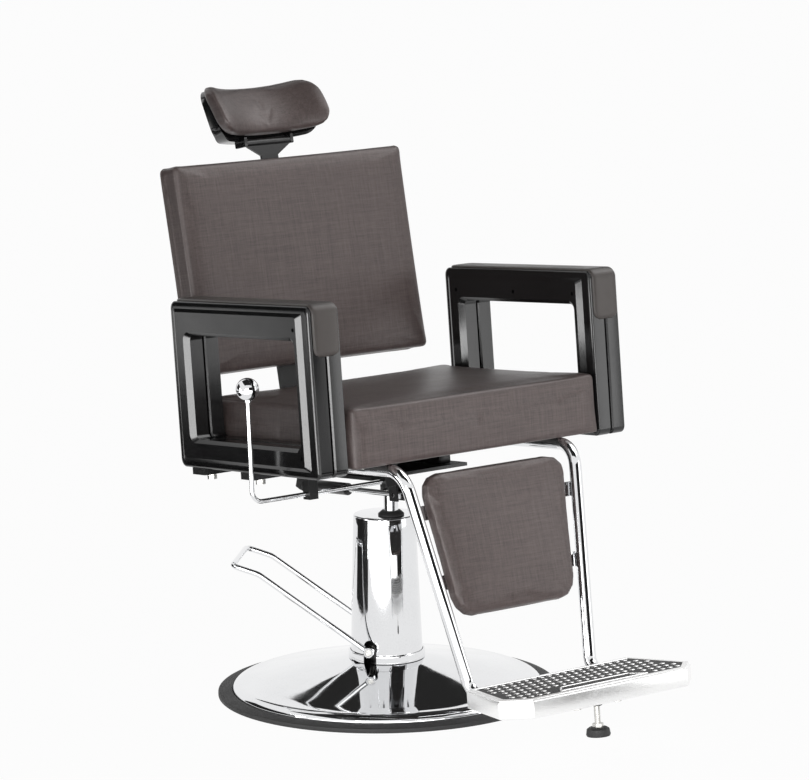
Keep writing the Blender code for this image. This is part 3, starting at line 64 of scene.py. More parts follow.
# %% Place the camera
PHOTO_WIDTH = 809
FOCAL_PIXELS = 3819.0
CAMERA_PLACE = Vector((-3.927, -5.288, 1.670))
YAW, PITCH, ROLL = math.radians(-36.94), math.radians(9.74), math.radians(-1.00)


def add_object(name, data):
    """Puts new object data into the scene."""
    made = bpy.data.objects.new(name, data)
    scene.collection.objects.link(made)
    return made


lens = bpy.data.cameras.new("photo_camera")
lens.sensor_width = 36.0
lens.lens = FOCAL_PIXELS / PHOTO_WIDTH * lens.sensor_width
lens.clip_end = 200.0
camera = add_object("photo_camera", lens)
camera.matrix_world = (Matrix.Translation(CAMERA_PLACE) @ Matrix.Rotation(YAW, 4, "Z")
                       @ Matrix.Rotation(math.pi / 2 - PITCH, 4, "X") @ Matrix.Rotation(ROLL, 4, "Z"))
scene.camera = camera
scene.view_settings.view_transform = "Standard"
print("lens", round(lens.lens, 2), "mm")

# %% [markdown]
# ## Wiring nodes
# Every finish below is a small tree of shader nodes. They could be placed by hand in the editor.
# In a script one helper is enough: it adds a node, sets its options, and either links an input to
# another node's socket or writes a plain value into it.

# %% A helper for nodes
def node(tree, kind, inputs=None, **settings):
    """Adds a shader node to a tree, sets it up and wires its inputs."""
    made = tree.nodes.new(kind if kind.startswith("NodeGroup") else "ShaderNode" + kind)
    for name, value in settings.items():
        setattr(made, name, value)
    for name, value in (inputs or {}).items():
        if isinstance(value, bpy.types.NodeSocket):
            tree.links.new(value, made.inputs[name])
        else:
            made.inputs[name].default_value = value
    return made


def math_node(tree, operation, first, second=0.0, third=0.0):
    """One arithmetic step, whose result is a socket."""
    return node(tree, "Math", {0: first, 1: second, 2: third}, operation=operation).outputs[0]


def background_ray(tree):
    """1 for the rays that should find a white studio: camera, mirror and glass rays."""
    path = node(tree, "LightPath").outputs
    seen = math_node(tree, "MAXIMUM", path["Is Camera Ray"], path["Is Glossy Ray"])
    return math_node(tree, "MAXIMUM", seen, path["Is Transmission Ray"])


print("node helpers ready")

# %% [markdown]
# ## The studio
# The chair was cut out on white. Here it stands on a pale floor in a white room that only camera
# and mirror rays see, while the light that falls on it comes mostly from the front, as in the
# picture: the seat's top is much darker than its front. So the world's fill grows towards the front.

# %% World
FILL_FRONT, FILL_BEHIND = 1.00, 0.10
FRONT = Vector((-0.30, -0.92, -0.40)).normalized()

world = bpy.data.worlds.new("studio")
world.use_nodes = True
world.node_tree.nodes.clear()
tree = world.node_tree
facing = node(tree, "VectorMath", {0: node(tree, "TexCoord").outputs["Generated"], 1: FRONT},
              operation="DOT_PRODUCT").outputs["Value"]
fill = node(tree, "MapRange", {"Value": facing, "From Min": -0.2, "From Max": 1.0,
                               "To Min": FILL_BEHIND, "To Max": FILL_FRONT})
dim = node(tree, "Background", {"Color": (1.0, 0.985, 0.965, 1.0), "Strength": fill.outputs["Result"]})
white = node(tree, "Background", {"Color": (1.0, 1.0, 1.0, 1.0), "Strength": 1.0})
mixed = node(tree, "MixShader", {0: background_ray(tree), 1: dim.outputs[0], 2: white.outputs[0]})
node(tree, "OutputWorld", {"Surface": mixed.outputs[0]})
scene.world = world
print("world fill from", FILL_BEHIND, "behind to", FILL_FRONT, "in front")

# %% [markdown]
# The floor is a wide plane. Most of its brightness, as the camera sees it, is a plain white glow,
# and the rest is a matt pale surface, so that it still takes the chair's shadow.

# %% Floor
FLOOR_SIZE = 60.0
FLOOR_GLOW = 0.965

floor_paint = bpy.data.materials.new("studio_floor")
floor_paint.use_nodes = True
floor_paint.node_tree.nodes.clear()
tree = floor_paint.node_tree
speckle = node(tree, "TexNoise", {"Vector": node(tree, "TexCoord").outputs["Object"], "Scale": 3.0})
tone = node(tree, "MapRange", {"Value": speckle.outputs["Fac"], "To Min": 0.90, "To Max": 0.94})
matt = node(tree, "BsdfDiffuse", {"Color": tone.outputs["Result"]})
glow = node(tree, "Emission", {"Color": (1.0, 1.0, 1.0, 1.0), "Strength": 1.0})
share = math_node(tree, "MULTIPLY", background_ray(tree), FLOOR_GLOW)
mixed = node(tree, "MixShader", {0: share, 1: matt.outputs[0], 2: glow.outputs[0]})
node(tree, "OutputMaterial", {"Surface": mixed.outputs[0]})


def mesh_from(bm, name):
    """Turns a bmesh into a mesh and frees it."""
    mesh = bpy.data.meshes.new(name)
    bm.to_mesh(mesh)
    bm.free()
    return mesh


def flat_sheet(name, segments, size, material):
    """A flat square grid as an object, with one material."""
    bm = bmesh.new()
    bmesh.ops.create_grid(bm, x_segments=segments, y_segments=segments, size=size)
    mesh = mesh_from(bm, name)
    mesh.materials.append(material)
    return add_object(name, mesh)


floor = flat_sheet("studio_floor", 4, FLOOR_SIZE / 2, floor_paint)
print("floor", FLOOR_SIZE, "m wide")

# %% [markdown]
# ## Lamps and flags
# One large soft lamp near the camera does the lighting. Photographers who shoot chrome and black
# plastic add tall narrow lamps for bright strips and black cards, called flags, for dark bands.
# The strips and flags here are seen by mirror rays only, so they draw lines on the chrome and the
# plastic and give the vinyl its sheen, but add no other light. Directions are angles from the
# chair's front, turning towards the lever side.

# %% Lamps
def from_chair(angle, distance, height):
    """A place round the chair, at an angle from its front towards the lever side."""
    turn = math.radians(angle)
    return Vector((-math.sin(turn) * distance, -math.cos(turn) * distance, height))


def soft_lamp(name, angle, distance, height, size, brightness, aim=Vector((0.0, 0.0, 0.5)), strip=False):
    """A rectangular lamp that faces the chair. Brightness is what a mirror would show."""
    data = bpy.data.lights.new(name, "AREA")
    data.shape = "RECTANGLE"
    data.size, data.size_y = size
    data.energy = brightness * math.pi * size[0] * size[1]
    lamp = add_object(name, data)
    lamp.location = from_chair(angle, distance, height)
    lamp.rotation_euler = (aim - lamp.location).to_track_quat("-Z", "Y").to_euler()
    lamp.visible_diffuse = not strip
    lamp.visible_camera = False


soft_lamp("key_lamp", 22, 3.4, 0.78, (2.2, 1.5), 3.0)
for name, angle, distance, height, size, brightness in (
        ("left_strip", 105, 1.66, 0.40, (0.46, 0.76), 9.0),
        ("right_strip", -38, 2.40, 0.75, (0.70, 1.45), 2.0),
        ("front_strip", 45, 1.05, 0.20, (2.20, 0.40), 1.4),
        ("edge_strip", 55, 2.20, 0.70, (0.34, 0.90), 11.0),
        ("rear_strip", 143, 2.20, 0.46, (0.60, 0.32), 0.9)):
    soft_lamp(name, angle, distance, height, size, brightness, Vector((0.0, 0.0, height)), strip=True)
soft_lamp("top_strip", -67, 1.28, 2.50, (1.70, 1.70), 3.0, Vector((0.0, 0.1, 1.0)), strip=True)

# %% [markdown]
# A flag is a square of black cloth on a stand, or here a flat sheet with a black material. Some
# stand upright, and two lie level: one over the chair, and one that darkens the floor in the
# reflection on the lever-side arm.

# %% Flags
flag_paint = bpy.data.materials.new("flag_cloth")
flag_paint.use_nodes = True
tree = flag_paint.node_tree
fibre = node(tree, "TexNoise", {"Vector": node(tree, "TexCoord").outputs["Object"], "Scale": 40.0})
black = node(tree, "MapRange", {"Value": fibre.outputs["Fac"], "To Min": 0.006, "To Max": 0.014})
tree.links.new(black.outputs["Result"], tree.nodes["Principled BSDF"].inputs["Base Color"])
tree.nodes["Principled BSDF"].inputs["Roughness"].default_value = 0.9


def flag(name, angle, distance, height, width, depth, tip=90):
    """A black card that only mirror rays see, upright or tipped over."""
    card = flat_sheet(name, 2, 0.5, flag_paint)
    card.location = from_chair(angle, distance, height)
    card.rotation_euler = (math.radians(tip), 0.0, -math.radians(angle))
    card.scale = (width, depth, 1.0)
    card.visible_camera = card.visible_diffuse = card.visible_shadow = False


flag("left_flag", 124, 0.85, 0.18, 0.84, 0.36)
flag("right_flag", -15, 1.15, 0.18, 0.40, 0.32)
flag("front_flag", 2, 3.00, 1.30, 2.80, 1.50)
flag("far_left_flag", 143, 5.00, 1.50, 4.00, 3.00)
flag("floor_flag", 146, 2.90, 0.01, 3.00, 1.70, tip=0)
flag("rear_high_flag", 216, 3.00, 2.30, 2.40, 1.06)
flag("ceiling_flag", 30, 0.30, 3.20, 4.00, 4.00, tip=0)
print("flags placed")

# %% [markdown]
# ## Shared effects
# Effects that several finishes need are node groups with named sockets. The first is hand marks:
# a slow cloud of polish and finger grease plus fine wiping lines, which turns into a roughness.
# Painting such marks by hand would need an image. Noise in the object's own space needs none.

# %% Group: hand marks
def new_group(name, inputs, outputs):
    """An empty node group with named sockets, and its two end nodes."""
    group = bpy.data.node_groups.new(name, "ShaderNodeTree")
    for label, value in inputs.items():
        socket = group.interface.new_socket(label, in_out="INPUT", socket_type="NodeSocketFloat")
        socket.default_value = value
    for label in outputs:
        group.interface.new_socket(label, in_out="OUTPUT", socket_type="NodeSocketFloat")
    return group, node(group, "NodeGroupInput").outputs, node(group, "NodeGroupOutput")


def own_space(tree):
    """Positions in the object's own axes, in metres."""
    return node(tree, "TexCoord").outputs["Object"]


hand_marks, given, result = new_group("hand_marks", {"Clean": 0.05, "Marked": 0.15, "Scale": 14.0},
                                      ["Roughness", "Mask"])
cloud = node(hand_marks, "TexNoise", {"Vector": own_space(hand_marks), "Scale": given["Scale"],
                                      "Detail": 5.0, "Roughness": 0.62})
wiped = node(hand_marks, "TexNoise", {"Vector": own_space(hand_marks), "Scale": 420.0, "Detail": 2.0})
blend = math_node(hand_marks, "MULTIPLY", cloud.outputs["Fac"], wiped.outputs["Fac"])
mask = node(hand_marks, "MapRange", {"Value": blend, "From Min": 0.18, "From Max": 0.42})
rough = node(hand_marks, "MapRange", {"Value": mask.outputs["Result"], "To Min": given["Clean"],
                                      "To Max": given["Marked"]})
hand_marks.links.new(rough.outputs["Result"], result.inputs["Roughness"])
hand_marks.links.new(mask.outputs["Result"], result.inputs["Mask"])
print("group", hand_marks.name)

# %% [markdown]
# The second effect is surface grain: the pebbling of moulded plastic, the orange peel of sprayed
# paint and the tooth of rubber are the same noise at different sizes. It puts out a height for a
# Bump node and a tone that lightens or darkens the colour a little.

# %% Group: surface grain
surface_grain, given, result = new_group("surface_grain", {"Scale": 900.0, "Clumps": 30.0},
                                         ["Height", "Tone"])
pebble = node(surface_grain, "TexNoise", {"Vector": own_space(surface_grain), "Scale": given["Scale"],
                                          "Detail": 3.0, "Roughness": 0.55})
clump = node(surface_grain, "TexNoise", {"Vector": own_space(surface_grain), "Scale": given["Clumps"],
                                         "Detail": 4.0})
fine = math_node(surface_grain, "MULTIPLY", pebble.outputs["Fac"], 0.6)
tone = math_node(surface_grain, "MULTIPLY_ADD", clump.outputs["Fac"], 0.7, fine)
surface_grain.links.new(pebble.outputs["Fac"], result.inputs["Height"])
surface_grain.links.new(tone, result.inputs["Tone"])
print("group", surface_grain.name)

# %% [markdown]
# The third effect is the linen print of the vinyl. Close up it is a cross of thin threads with
# thicker slubs, running along and across each panel. Noise stretched along one axis gives threads,
# and the direction that a face points in chooses which two of the three axes cross on it.

# %% Group: linen weave
def threads(tree, along, fine, slub):
    """Noise drawn out along one axis: thin threads, some of them thicker."""
    stretch = [1.0, 1.0, 1.0]
    stretch["XYZ".index(along)] = 0.045
    layers = []
    for scale in (fine, slub):
        spread = node(tree, "VectorMath", {0: own_space(tree), 1: stretch}, operation="MULTIPLY")
        layers.append(node(tree, "TexNoise", {"Vector": spread.outputs[0], "Scale": scale,
                                              "Detail": 2.0, "Roughness": 0.6}).outputs["Fac"])
    thick = math_node(tree, "MULTIPLY", layers[1], 0.45)
    return math_node(tree, "MULTIPLY_ADD", layers[0], 0.55, thick)


linen_weave, given, result = new_group("linen_weave", {"Thread": 560.0, "Slub": 170.0},
                                       ["Shade", "Height"])
normal = node(linen_weave, "SeparateXYZ", {0: node(linen_weave, "TexCoord").outputs["Normal"]}).outputs
shade = 0.0
for axis in "XYZ":
    lies_across = math_node(linen_weave, "MULTIPLY", normal[axis], normal[axis])
    weight = math_node(linen_weave, "SUBTRACT", 1.0, lies_across)
    crossing = threads(linen_weave, axis, given["Thread"], given["Slub"])
    shade = math_node(linen_weave, "MULTIPLY_ADD", crossing, weight, shade)
shade = math_node(linen_weave, "MULTIPLY", shade, 0.5)
linen_weave.links.new(shade, result.inputs["Height"])
spread = node(linen_weave, "MapRange", {"Value": shade, "From Min": 0.36, "From Max": 0.64})
linen_weave.links.new(spread.outputs["Result"], result.inputs["Shade"])
print("group", linen_weave.name)

# %% [markdown]
# ## Finishes
# A finish is one Principled shader. Values that are the same all over are written on its sockets,
# and only colour, roughness and the bump come from nodes. The maker below builds the common part:
# two close tones mixed by a mask, a roughness, and a height that becomes a bump.

# %% A maker for finishes
def place_group(tree, group, **values):
    """Puts a shared effect into a material with its own values."""
    made = node(tree, "Group", node_tree=group)
    for label, value in values.items():
        made.inputs[label].default_value = value
    return made.outputs


def finish(name, metallic=0.0, **sockets):
    """A new material with its Principled shader, whose constant sockets are set directly."""
    material = bpy.data.materials.new(name)
    material.use_nodes = True
    shader = material.node_tree.nodes["Principled BSDF"]
    shader.inputs["Metallic"].default_value = metallic
    for label, value in sockets.items():
        shader.inputs[label.replace("_", " ")].default_value = value
    return material, material.node_tree, shader


def two_tones(tree, shader, mask, low, high):
    """Colours the surface between two close tones."""
    mixed = node(tree, "Mix", {"Factor": mask}, data_type="RGBA")
    colour_in = [s for s in mixed.inputs if s.type == "RGBA"]
    colour_in[0].default_value, colour_in[1].default_value = (*low, 1.0), (*high, 1.0)
    colour_out = [s for s in mixed.outputs if s.type == "RGBA"][0]
    tree.links.new(colour_out, shader.inputs["Base Color"])


def bump(tree, shader, height, depth, strength=1.0):
    """Feeds a height of 0 to 1 to the shader as relief of a given depth in metres."""
    relief = node(tree, "Bump", {"Height": height, "Distance": depth, "Strength": strength})
    tree.links.new(relief.outputs["Normal"], shader.inputs["Normal"])


def hand_worn(tree, shader, clean, marked, cloud):
    """Lets hand marks set the roughness, and returns their mask."""
    marks = place_group(tree, hand_marks, Clean=clean, Marked=marked, Scale=cloud)
    tree.links.new(marks["Roughness"], shader.inputs["Roughness"])
    return marks["Mask"]


print("finish makers ready")

# %% [markdown]
# Chrome on pressed sheet and bent tube is a clear mirror with a cold tint. It is never perfect:
# wiping leaves faint dull clouds, and the pressing leaves slow waves that make reflections swim.

# %% Chrome
chrome, tree, shader = finish("chrome", metallic=1.0)
mask = hand_worn(tree, shader, 0.025, 0.085, 11.0)
two_tones(tree, shader, mask, (0.80, 0.805, 0.815), (0.75, 0.755, 0.765))
waves = node(tree, "TexNoise", {"Vector": own_space(tree), "Scale": 9.0, "Detail": 1.0})
bump(tree, shader, waves.outputs["Fac"], 0.0012)
print("finish", chrome.name)

# %% [markdown]
# Zinc-plated fasteners and brackets are duller, with a patchy grey-yellow tone. The cast tray is
# polished aluminium: bright, with fine parallel lines left by the belt.

# %% Zinc and aluminium
zinc, tree, shader = finish("zinc_steel", metallic=1.0)
mask = hand_worn(tree, shader, 0.24, 0.42, 60.0)
two_tones(tree, shader, mask, (0.66, 0.65, 0.62), (0.50, 0.50, 0.49))
grain = place_group(tree, surface_grain, Scale=700.0, Clumps=60.0)
bump(tree, shader, grain["Height"], 0.00015)

aluminium, tree, shader = finish("polished_aluminium", metallic=1.0)
mask = hand_worn(tree, shader, 0.34, 0.44, 22.0)
two_tones(tree, shader, mask, (0.93, 0.93, 0.925), (0.88, 0.88, 0.88))
belt = node(tree, "VectorMath", {0: own_space(tree), 1: (0.03, 1.0, 1.0)}, operation="MULTIPLY")
lines = node(tree, "TexNoise", {"Vector": belt.outputs[0], "Scale": 1400.0, "Detail": 2.0})
bump(tree, shader, lines.outputs["Fac"], 0.00006)
print("finishes", zinc.name, aluminium.name)

# %% [markdown]
# Three blacks share the chair. Sprayed paint on the steel is satin with orange peel, the moulded
# arms are smoother and show clear reflections, and the rubber is matt and slightly grey with dust.

# %% Blacks
def black_finish(name, low, high, clean, marked, cloud, pebble, depth, **sockets):
    """A dark finish with hand marks, grain and two close tones."""
    material, tree, shader = finish(name, **sockets)
    hand_worn(tree, shader, clean, marked, cloud)
    grain = place_group(tree, surface_grain, Scale=pebble, Clumps=cloud * 2)
    two_tones(tree, shader, grain["Tone"], low, high)
    bump(tree, shader, grain["Height"], depth)
    return material


black_paint = black_finish("black_paint", (0.009,) * 3, (0.016, 0.016, 0.017), 0.28, 0.42, 20.0, 500.0,
                           0.00010)
black_plastic = black_finish("black_plastic", (0.006,) * 3, (0.010, 0.010, 0.011), 0.15, 0.24, 9.0,
                             1500.0, 0.00002, IOR=1.52)
black_rubber = black_finish("black_rubber", (0.020,) * 3, (0.040, 0.040, 0.041), 0.55, 0.72, 16.0, 800.0,
                            0.00012)
print("finishes", black_paint.name, black_plastic.name, black_rubber.name)

# %% [markdown]
# The cushions are covered in taupe vinyl printed and embossed like linen. It has a low sheen, so
# the light catches its rounded edges. The arm pads are skinned foam in the same family of brown,
# smoother, with a fine leather grain. The plywood boards are stained black, as their dark mirror
# image in the chrome foot tells.

# %% Vinyl, pad skin and plywood
vinyl, tree, shader = finish("taupe_upholstery", IOR=1.46)
weave = place_group(tree, linen_weave, Thread=800.0, Slub=230.0)
two_tones(tree, shader, weave["Shade"], (0.078, 0.0595, 0.0572), (0.160, 0.1235, 0.119))
hand_worn(tree, shader, 0.36, 0.48, 6.0)
bump(tree, shader, weave["Height"], 0.00035)

pad_skin, tree, shader = finish("soft_pad", IOR=1.46)
grain = place_group(tree, surface_grain, Scale=650.0, Clumps=18.0)
two_tones(tree, shader, grain["Tone"], (0.060, 0.051, 0.048), (0.084, 0.073, 0.068))
hand_worn(tree, shader, 0.34, 0.48, 12.0)
bump(tree, shader, grain["Height"], 0.00012)

plywood, tree, shader = finish("plywood", Roughness=0.6)
plies = node(tree, "TexWave", {"Vector": own_space(tree), "Scale": 120.0, "Distortion": 4.0,
                               "Detail": 3.0}, bands_direction="Z")
two_tones(tree, shader, plies.outputs["Fac"], (0.010, 0.009, 0.008), (0.028, 0.025, 0.023))
bump(tree, shader, plies.outputs["Fac"], 0.0002)
print("finishes", vinyl.name, pad_skin.name, plywood.name)

# %% [markdown]
# ## Dressing the CAD solids
# Each solid came with a plain material named after its slot. It is swapped for the finish above.
# The solids have hard creases, and no real edge is that sharp, so modifiers weld the mesh, merge
# flat triangles and round the creases by half a millimetre. The vertices themselves stay as they are.

# %% Finishes and soft creases on the solids
FINISHES = {"chrome": chrome, "zinc_steel": zinc, "polished_aluminium": aluminium,
            "black_paint": black_paint, "black_painted_steel": black_paint,
            "black_plastic": black_plastic, "black_rubber": black_rubber, "soft_pad": pad_skin,
            "taupe_upholstery": vinyl, "plywood": plywood}
CREASE_ANGLE = 32


def round_creases(piece, angle, width, segments):
    """Rounds every edge that is sharper than an angle."""
    crease = piece.modifiers.new("crease", "BEVEL")
    crease.limit_method, crease.angle_limit = "ANGLE", math.radians(angle)
    crease.width, crease.segments, crease.harden_normals = width, segments, True


def dress_solid(solid, round_width):
    """Gives a CAD solid its finish, smooth shading and rounded creases."""
    mesh = solid.data
    given_name = mesh.materials[0].name.split(".")[0]
    mesh.materials[0] = FINISHES[given_name]
    if "custom_normal" in mesh.attributes:
        mesh.attributes.remove(mesh.attributes["custom_normal"])
    mesh.shade_smooth()
    solid.modifiers.new("weld", "WELD").merge_threshold = 0.00002
    flat = solid.modifiers.new("flat", "DECIMATE")
    flat.decimate_type, flat.angle_limit = "DISSOLVE", math.radians(0.6)
    round_creases(solid, CREASE_ANGLE, round_width, 2)
    return given_name


used = {}
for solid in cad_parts.values():
    used.setdefault(dress_solid(solid, 0.0006), []).append(solid.name)
print({name: len(members) for name, members in used.items()})

# %% [markdown]
# ## Shaping helpers
# The mirror-bright pieces need many more faces than the CAD solids, because chrome shows every
# facet. They are turned, swept or lofted again from the same sizes. A helper takes the finished
# mesh, links it as a piece, names its finish and makes it ride on its CAD body.

# %% Helpers for pieces
def make_piece(name, bm, material, body, axes=None, sharp=38, stands_for=()):
    """Turns a bmesh into a shaded piece that rides on a CAD body."""
    bmesh.ops.remove_doubles(bm, verts=bm.verts, dist=0.000002)
    loose = [edge for edge in bm.edges if not edge.link_faces]
    bmesh.ops.delete(bm, geom=loose, context="EDGES")
    bmesh.ops.recalc_face_normals(bm, faces=bm.faces)
    mesh = mesh_from(bm, name)
    mesh.shade_smooth()
    mesh.set_sharp_from_angle(angle=math.radians(sharp))
    mesh.materials.append(material)
    piece = add_object(name, mesh)
    if axes is not None:
        piece.matrix_world = axes
    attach(piece, body)
    if stands_for:
        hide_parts(*stands_for)
    print("piece", name, "faces", len(mesh.polygons))
    return piece


def bridge(bm, rings, closed=False, caps=True):
    """Joins rings of points with quads, as a loop of rings or with flat ends."""
    made = [[bm.verts.new(point) for point in ring] for ring in rings]
    following = made[1:] + (made[:1] if closed else [])
    for first, second in zip(made, following):
        for here in range(len(first)):
            there = (here + 1) % len(first)
            bm.faces.new((first[here], first[there], second[there], second[here]))
    if caps and not closed:
        bm.faces.new(list(reversed(made[0])))
        bm.faces.new(made[-1])
    return bm


print("piece helpers ready")

# %% [markdown]
# Three kinds of ring feed the bridge: a circle round an upright axis, as on a lathe, a circle that
# follows a path with rounded bends, and a rounded rectangle. Curves with a bevel could do the same,
# but points from a few lines of trigonometry give the exact number of faces that is asked for.

# %% Helpers for rings and paths
def circle(sides):
    """Points round a circle of radius 1, as (a, b) pairs."""
    turns = [2 * math.pi * step / sides for step in range(sides)]
    return [(math.cos(turn), math.sin(turn)) for turn in turns]


def turned(profile, sides, bm=None, centre=(0.0, 0.0)):
    """Spins a closed profile of (radius, height) pairs about an upright axis."""
    rings = [[(centre[0] + radius * a, centre[1] + radius * b, height) for a, b in circle(sides)]
             for radius, height in profile]
    return bridge(bm or bmesh.new(), rings, closed=True)


def filleted(points, radii, steps=14):
    """A path through corner points with rounded bends."""
    points = [Vector(point) for point in points]
    path = [points[0]]
    for before, corner, after, radius in zip(points, points[1:-1], points[2:], radii):
        to_before, to_after = (before - corner).normalized(), (after - corner).normalized()
        half = to_before.angle(to_after) / 2
        start = corner + to_before * radius / math.tan(half)
        end = corner + to_after * radius / math.tan(half)
        centre = corner + (to_before + to_after).normalized() * radius / math.sin(half)
        first, second = start - centre, end - centre
        swing = first.angle(second)
        for step in range(steps + 1):
            share = step / steps
            path.append(centre + (first * math.sin((1 - share) * swing) + second * math.sin(share * swing))
                        / math.sin(swing))
    return path + [points[-1]]


def swept(path, radius, sides=28, bm=None):
    """A round bar along a path, with flat ends."""
    side = (path[1] - path[0]).orthogonal().normalized()
    rings = []
    for index, point in enumerate(path):
        ahead = (path[min(index + 1, len(path) - 1)] - path[max(index - 1, 0)]).normalized()
        side = (side - ahead * side.dot(ahead)).normalized()
        other = ahead.cross(side)
        rings.append([point + (side * a + other * b) * radius for a, b in circle(sides)])
    return bridge(bm or bmesh.new(), rings)


def outline(low_a, high_a, low_b, high_b, corner, steps=8):
    """A rounded rectangle, counter-clockwise, as (a, b) pairs."""
    points = []
    for a, b, quarter in ((high_a - corner, high_b - corner, 0), (low_a + corner, high_b - corner, 1),
                          (low_a + corner, low_b + corner, 2), (high_a - corner, low_b + corner, 3)):
        for step in range(steps + 1):
            turn = math.pi / 2 * (quarter + step / steps)
            points.append((a + corner * math.cos(turn), b + corner * math.sin(turn)))
    return points


print("ring helpers ready")

# %% [markdown]
# The seat, the back and the calf pad each lean a little. Shapes are easier to give in upright
# numbers, so each of these parts has axes of its own that lean as it does.

# %% Leaning axes
def tilted_axes(place, degrees):
    """Axes at a place, tipped about the chair's crosswise axis."""
    return Matrix.Translation(place) @ Matrix.Rotation(math.radians(degrees), 4, "X")


SEAT_AXES = tilted_axes((0.0, -0.02, 0.4), -4.75)
BACK_AXES = tilted_axes((0.0, 0.166021, 0.404612), -11.85)
CALF_AXES = tilted_axes((0.0, -0.33881, 0.333515), -16.03)
SIDES = (("left", 1), ("right", -1))
print("axes ready")

# %% [markdown]
# ## The round foot
# On the real chair a pressed steel dome covers a flat plate, and a rubber rim is pulled over its
# edge. Both are lathe shapes, so a profile of radius and height is spun round the upright axis.

# %% Dome and rubber rim
FINE_SIDES = 192
RIM_RADIUS, RIM_INNER, RIM_HEIGHT, RIM_EDGE = 0.300, 0.2745, 0.0115, 0.0065
DOME_RIM, DOME_BRIM, BRIM_HEIGHT = 0.2742, 0.2522, 0.024
DOME_HOLE, DOME_TOP, SHEET = 0.056, 0.0645, 0.002
FIT = 0.0003


def arc(centre, radii, start, end, steps):
    """Points on an ellipse between two angles in degrees."""
    turns = [math.radians(start + (end - start) * step / steps) for step in range(steps + 1)]
    return [(centre[0] + radii[0] * math.cos(turn), centre[1] + radii[1] * math.sin(turn))
            for turn in turns]


brim_size = (DOME_RIM - DOME_BRIM, BRIM_HEIGHT - RIM_HEIGHT)
cone = [(DOME_HOLE + (DOME_BRIM - DOME_HOLE) * step / 10, DOME_TOP + (BRIM_HEIGHT - DOME_TOP) * step / 10)
        for step in range(10)]
skin = cone + arc((DOME_BRIM, RIM_HEIGHT), brim_size, 90, 0, 12) + [(DOME_RIM, 0.0063)]
lining = [(radius - SHEET, max(height - SHEET, 0.0063)) for radius, height in reversed(skin)]
lining[-1] = (DOME_HOLE, DOME_TOP - SHEET)
make_piece("chrome_dome", turned(skin + lining, FINE_SIDES), chrome, "base",
           stands_for=["base_dome"])

rim = [(RIM_INNER, 0.0), (RIM_INNER, RIM_HEIGHT - FIT)]
rim += arc((RIM_INNER + 0.003, RIM_HEIGHT - 0.0015), (0.003, 0.0015), 180, 90, 5)
rim += arc((RIM_RADIUS - 0.004, RIM_EDGE), (0.004, 0.0025), 75, 0, 6)
rim += arc((RIM_RADIUS - 0.0015, 0.0015), (0.0015, 0.0015), 0, -90, 4)
make_piece("rubber_rim", turned(rim, FINE_SIDES), black_rubber, "base",
           stands_for=["floor_ring"])

# %% [markdown]
# ## The pump cover
# The tall cover is a chrome cone with a rounded lip and an arched slot where the pedal's shaft
# comes out. The slot could be modelled into the grid. A Boolean cut, applied once, is simpler
# and leaves the smooth cone round it alone. A band of the same sheet trims its foot.

# %% Column cover and band
COVER_TOP, COVER_TOP_RADIUS, COVER_FOOT_RADIUS, COVER_LIP = 0.320, 0.055, 0.064, 0.003
PEDAL_AXES = Matrix.Translation((-0.015825, 0.015282, 0.087)) @ Matrix.Rotation(math.radians(136), 4, "Z")
ROD_Y, ROD_RADIUS = -0.02, 0.013
SLOT_HALF, SLOT_ARCH = 0.0115, 0.005


def dome_height(radius):
    """Height of the dome's cone at a radius."""
    return DOME_TOP + (BRIM_HEIGHT - DOME_TOP) * (radius - DOME_HOLE) / (DOME_BRIM - DOME_HOLE)


def apply_modifiers(piece):
    """Replaces a piece's mesh by what its modifiers make of it."""
    bpy.context.view_layer.update()
    shaped = piece.evaluated_get(bpy.context.evaluated_depsgraph_get())
    old, piece.data = piece.data, bpy.data.meshes.new_from_object(shaped)
    piece.modifiers.clear()
    bpy.data.meshes.remove(old)


def carve(piece, cutter_bm, axes):
    """Cuts a shape out of a piece for good."""
    bmesh.ops.recalc_face_normals(cutter_bm, faces=cutter_bm.faces)
    mesh = mesh_from(cutter_bm, "cutter")
    cutter = add_object("cutter", mesh)
    cutter.matrix_world = axes
    cut = piece.modifiers.new("cut", "BOOLEAN")
    cut.operation, cut.solver, cut.object = "DIFFERENCE", "EXACT", cutter
    apply_modifiers(piece)
    bpy.data.objects.remove(cutter)
    bpy.data.meshes.remove(mesh)
    piece.data.shade_smooth()
    piece.data.set_sharp_from_angle(angle=math.radians(38))


def arched_slot(near, far):
    """The slot's outline, drawn along the pedal's shaft."""
    shape = [(-SLOT_HALF, -0.063), (SLOT_HALF, -0.063)] + arc((0.0, SLOT_ARCH), (SLOT_HALF,) * 2, 0, 180, 16)
    return bridge(bmesh.new(), [[(a, y, b) for a, b in shape] for y in (near, far)])


foot = dome_height(COVER_FOOT_RADIUS - SHEET) + FIT
slope = (COVER_TOP_RADIUS - COVER_FOOT_RADIUS) / (COVER_TOP - DOME_TOP)
foot_radius = COVER_FOOT_RADIUS + slope * (foot - DOME_TOP)
side = [(foot_radius + (COVER_TOP_RADIUS - foot_radius) * step / 12,
         foot + (COVER_TOP - COVER_LIP - foot) * step / 12) for step in range(12)]
lip = arc((COVER_TOP_RADIUS - COVER_LIP, COVER_TOP - COVER_LIP), (COVER_LIP,) * 2, 0, 90, 6)
skin = side + lip + [(0.0, COVER_TOP)]
lining = [(max(radius - SHEET, 0.0), height - (SHEET if height > foot else 0.0))
          for radius, height in reversed(skin)]
cover = make_piece("pump_cover", turned(skin + lining, FINE_SIDES), chrome, "base",
                   stands_for=["column_cover"])
carve(cover, arched_slot(-0.13, 0.13), PEDAL_AXES)
hole_radius, hole_low, hole_high = ROD_RADIUS + 0.0012, COVER_TOP - 0.01, COVER_TOP + 0.01
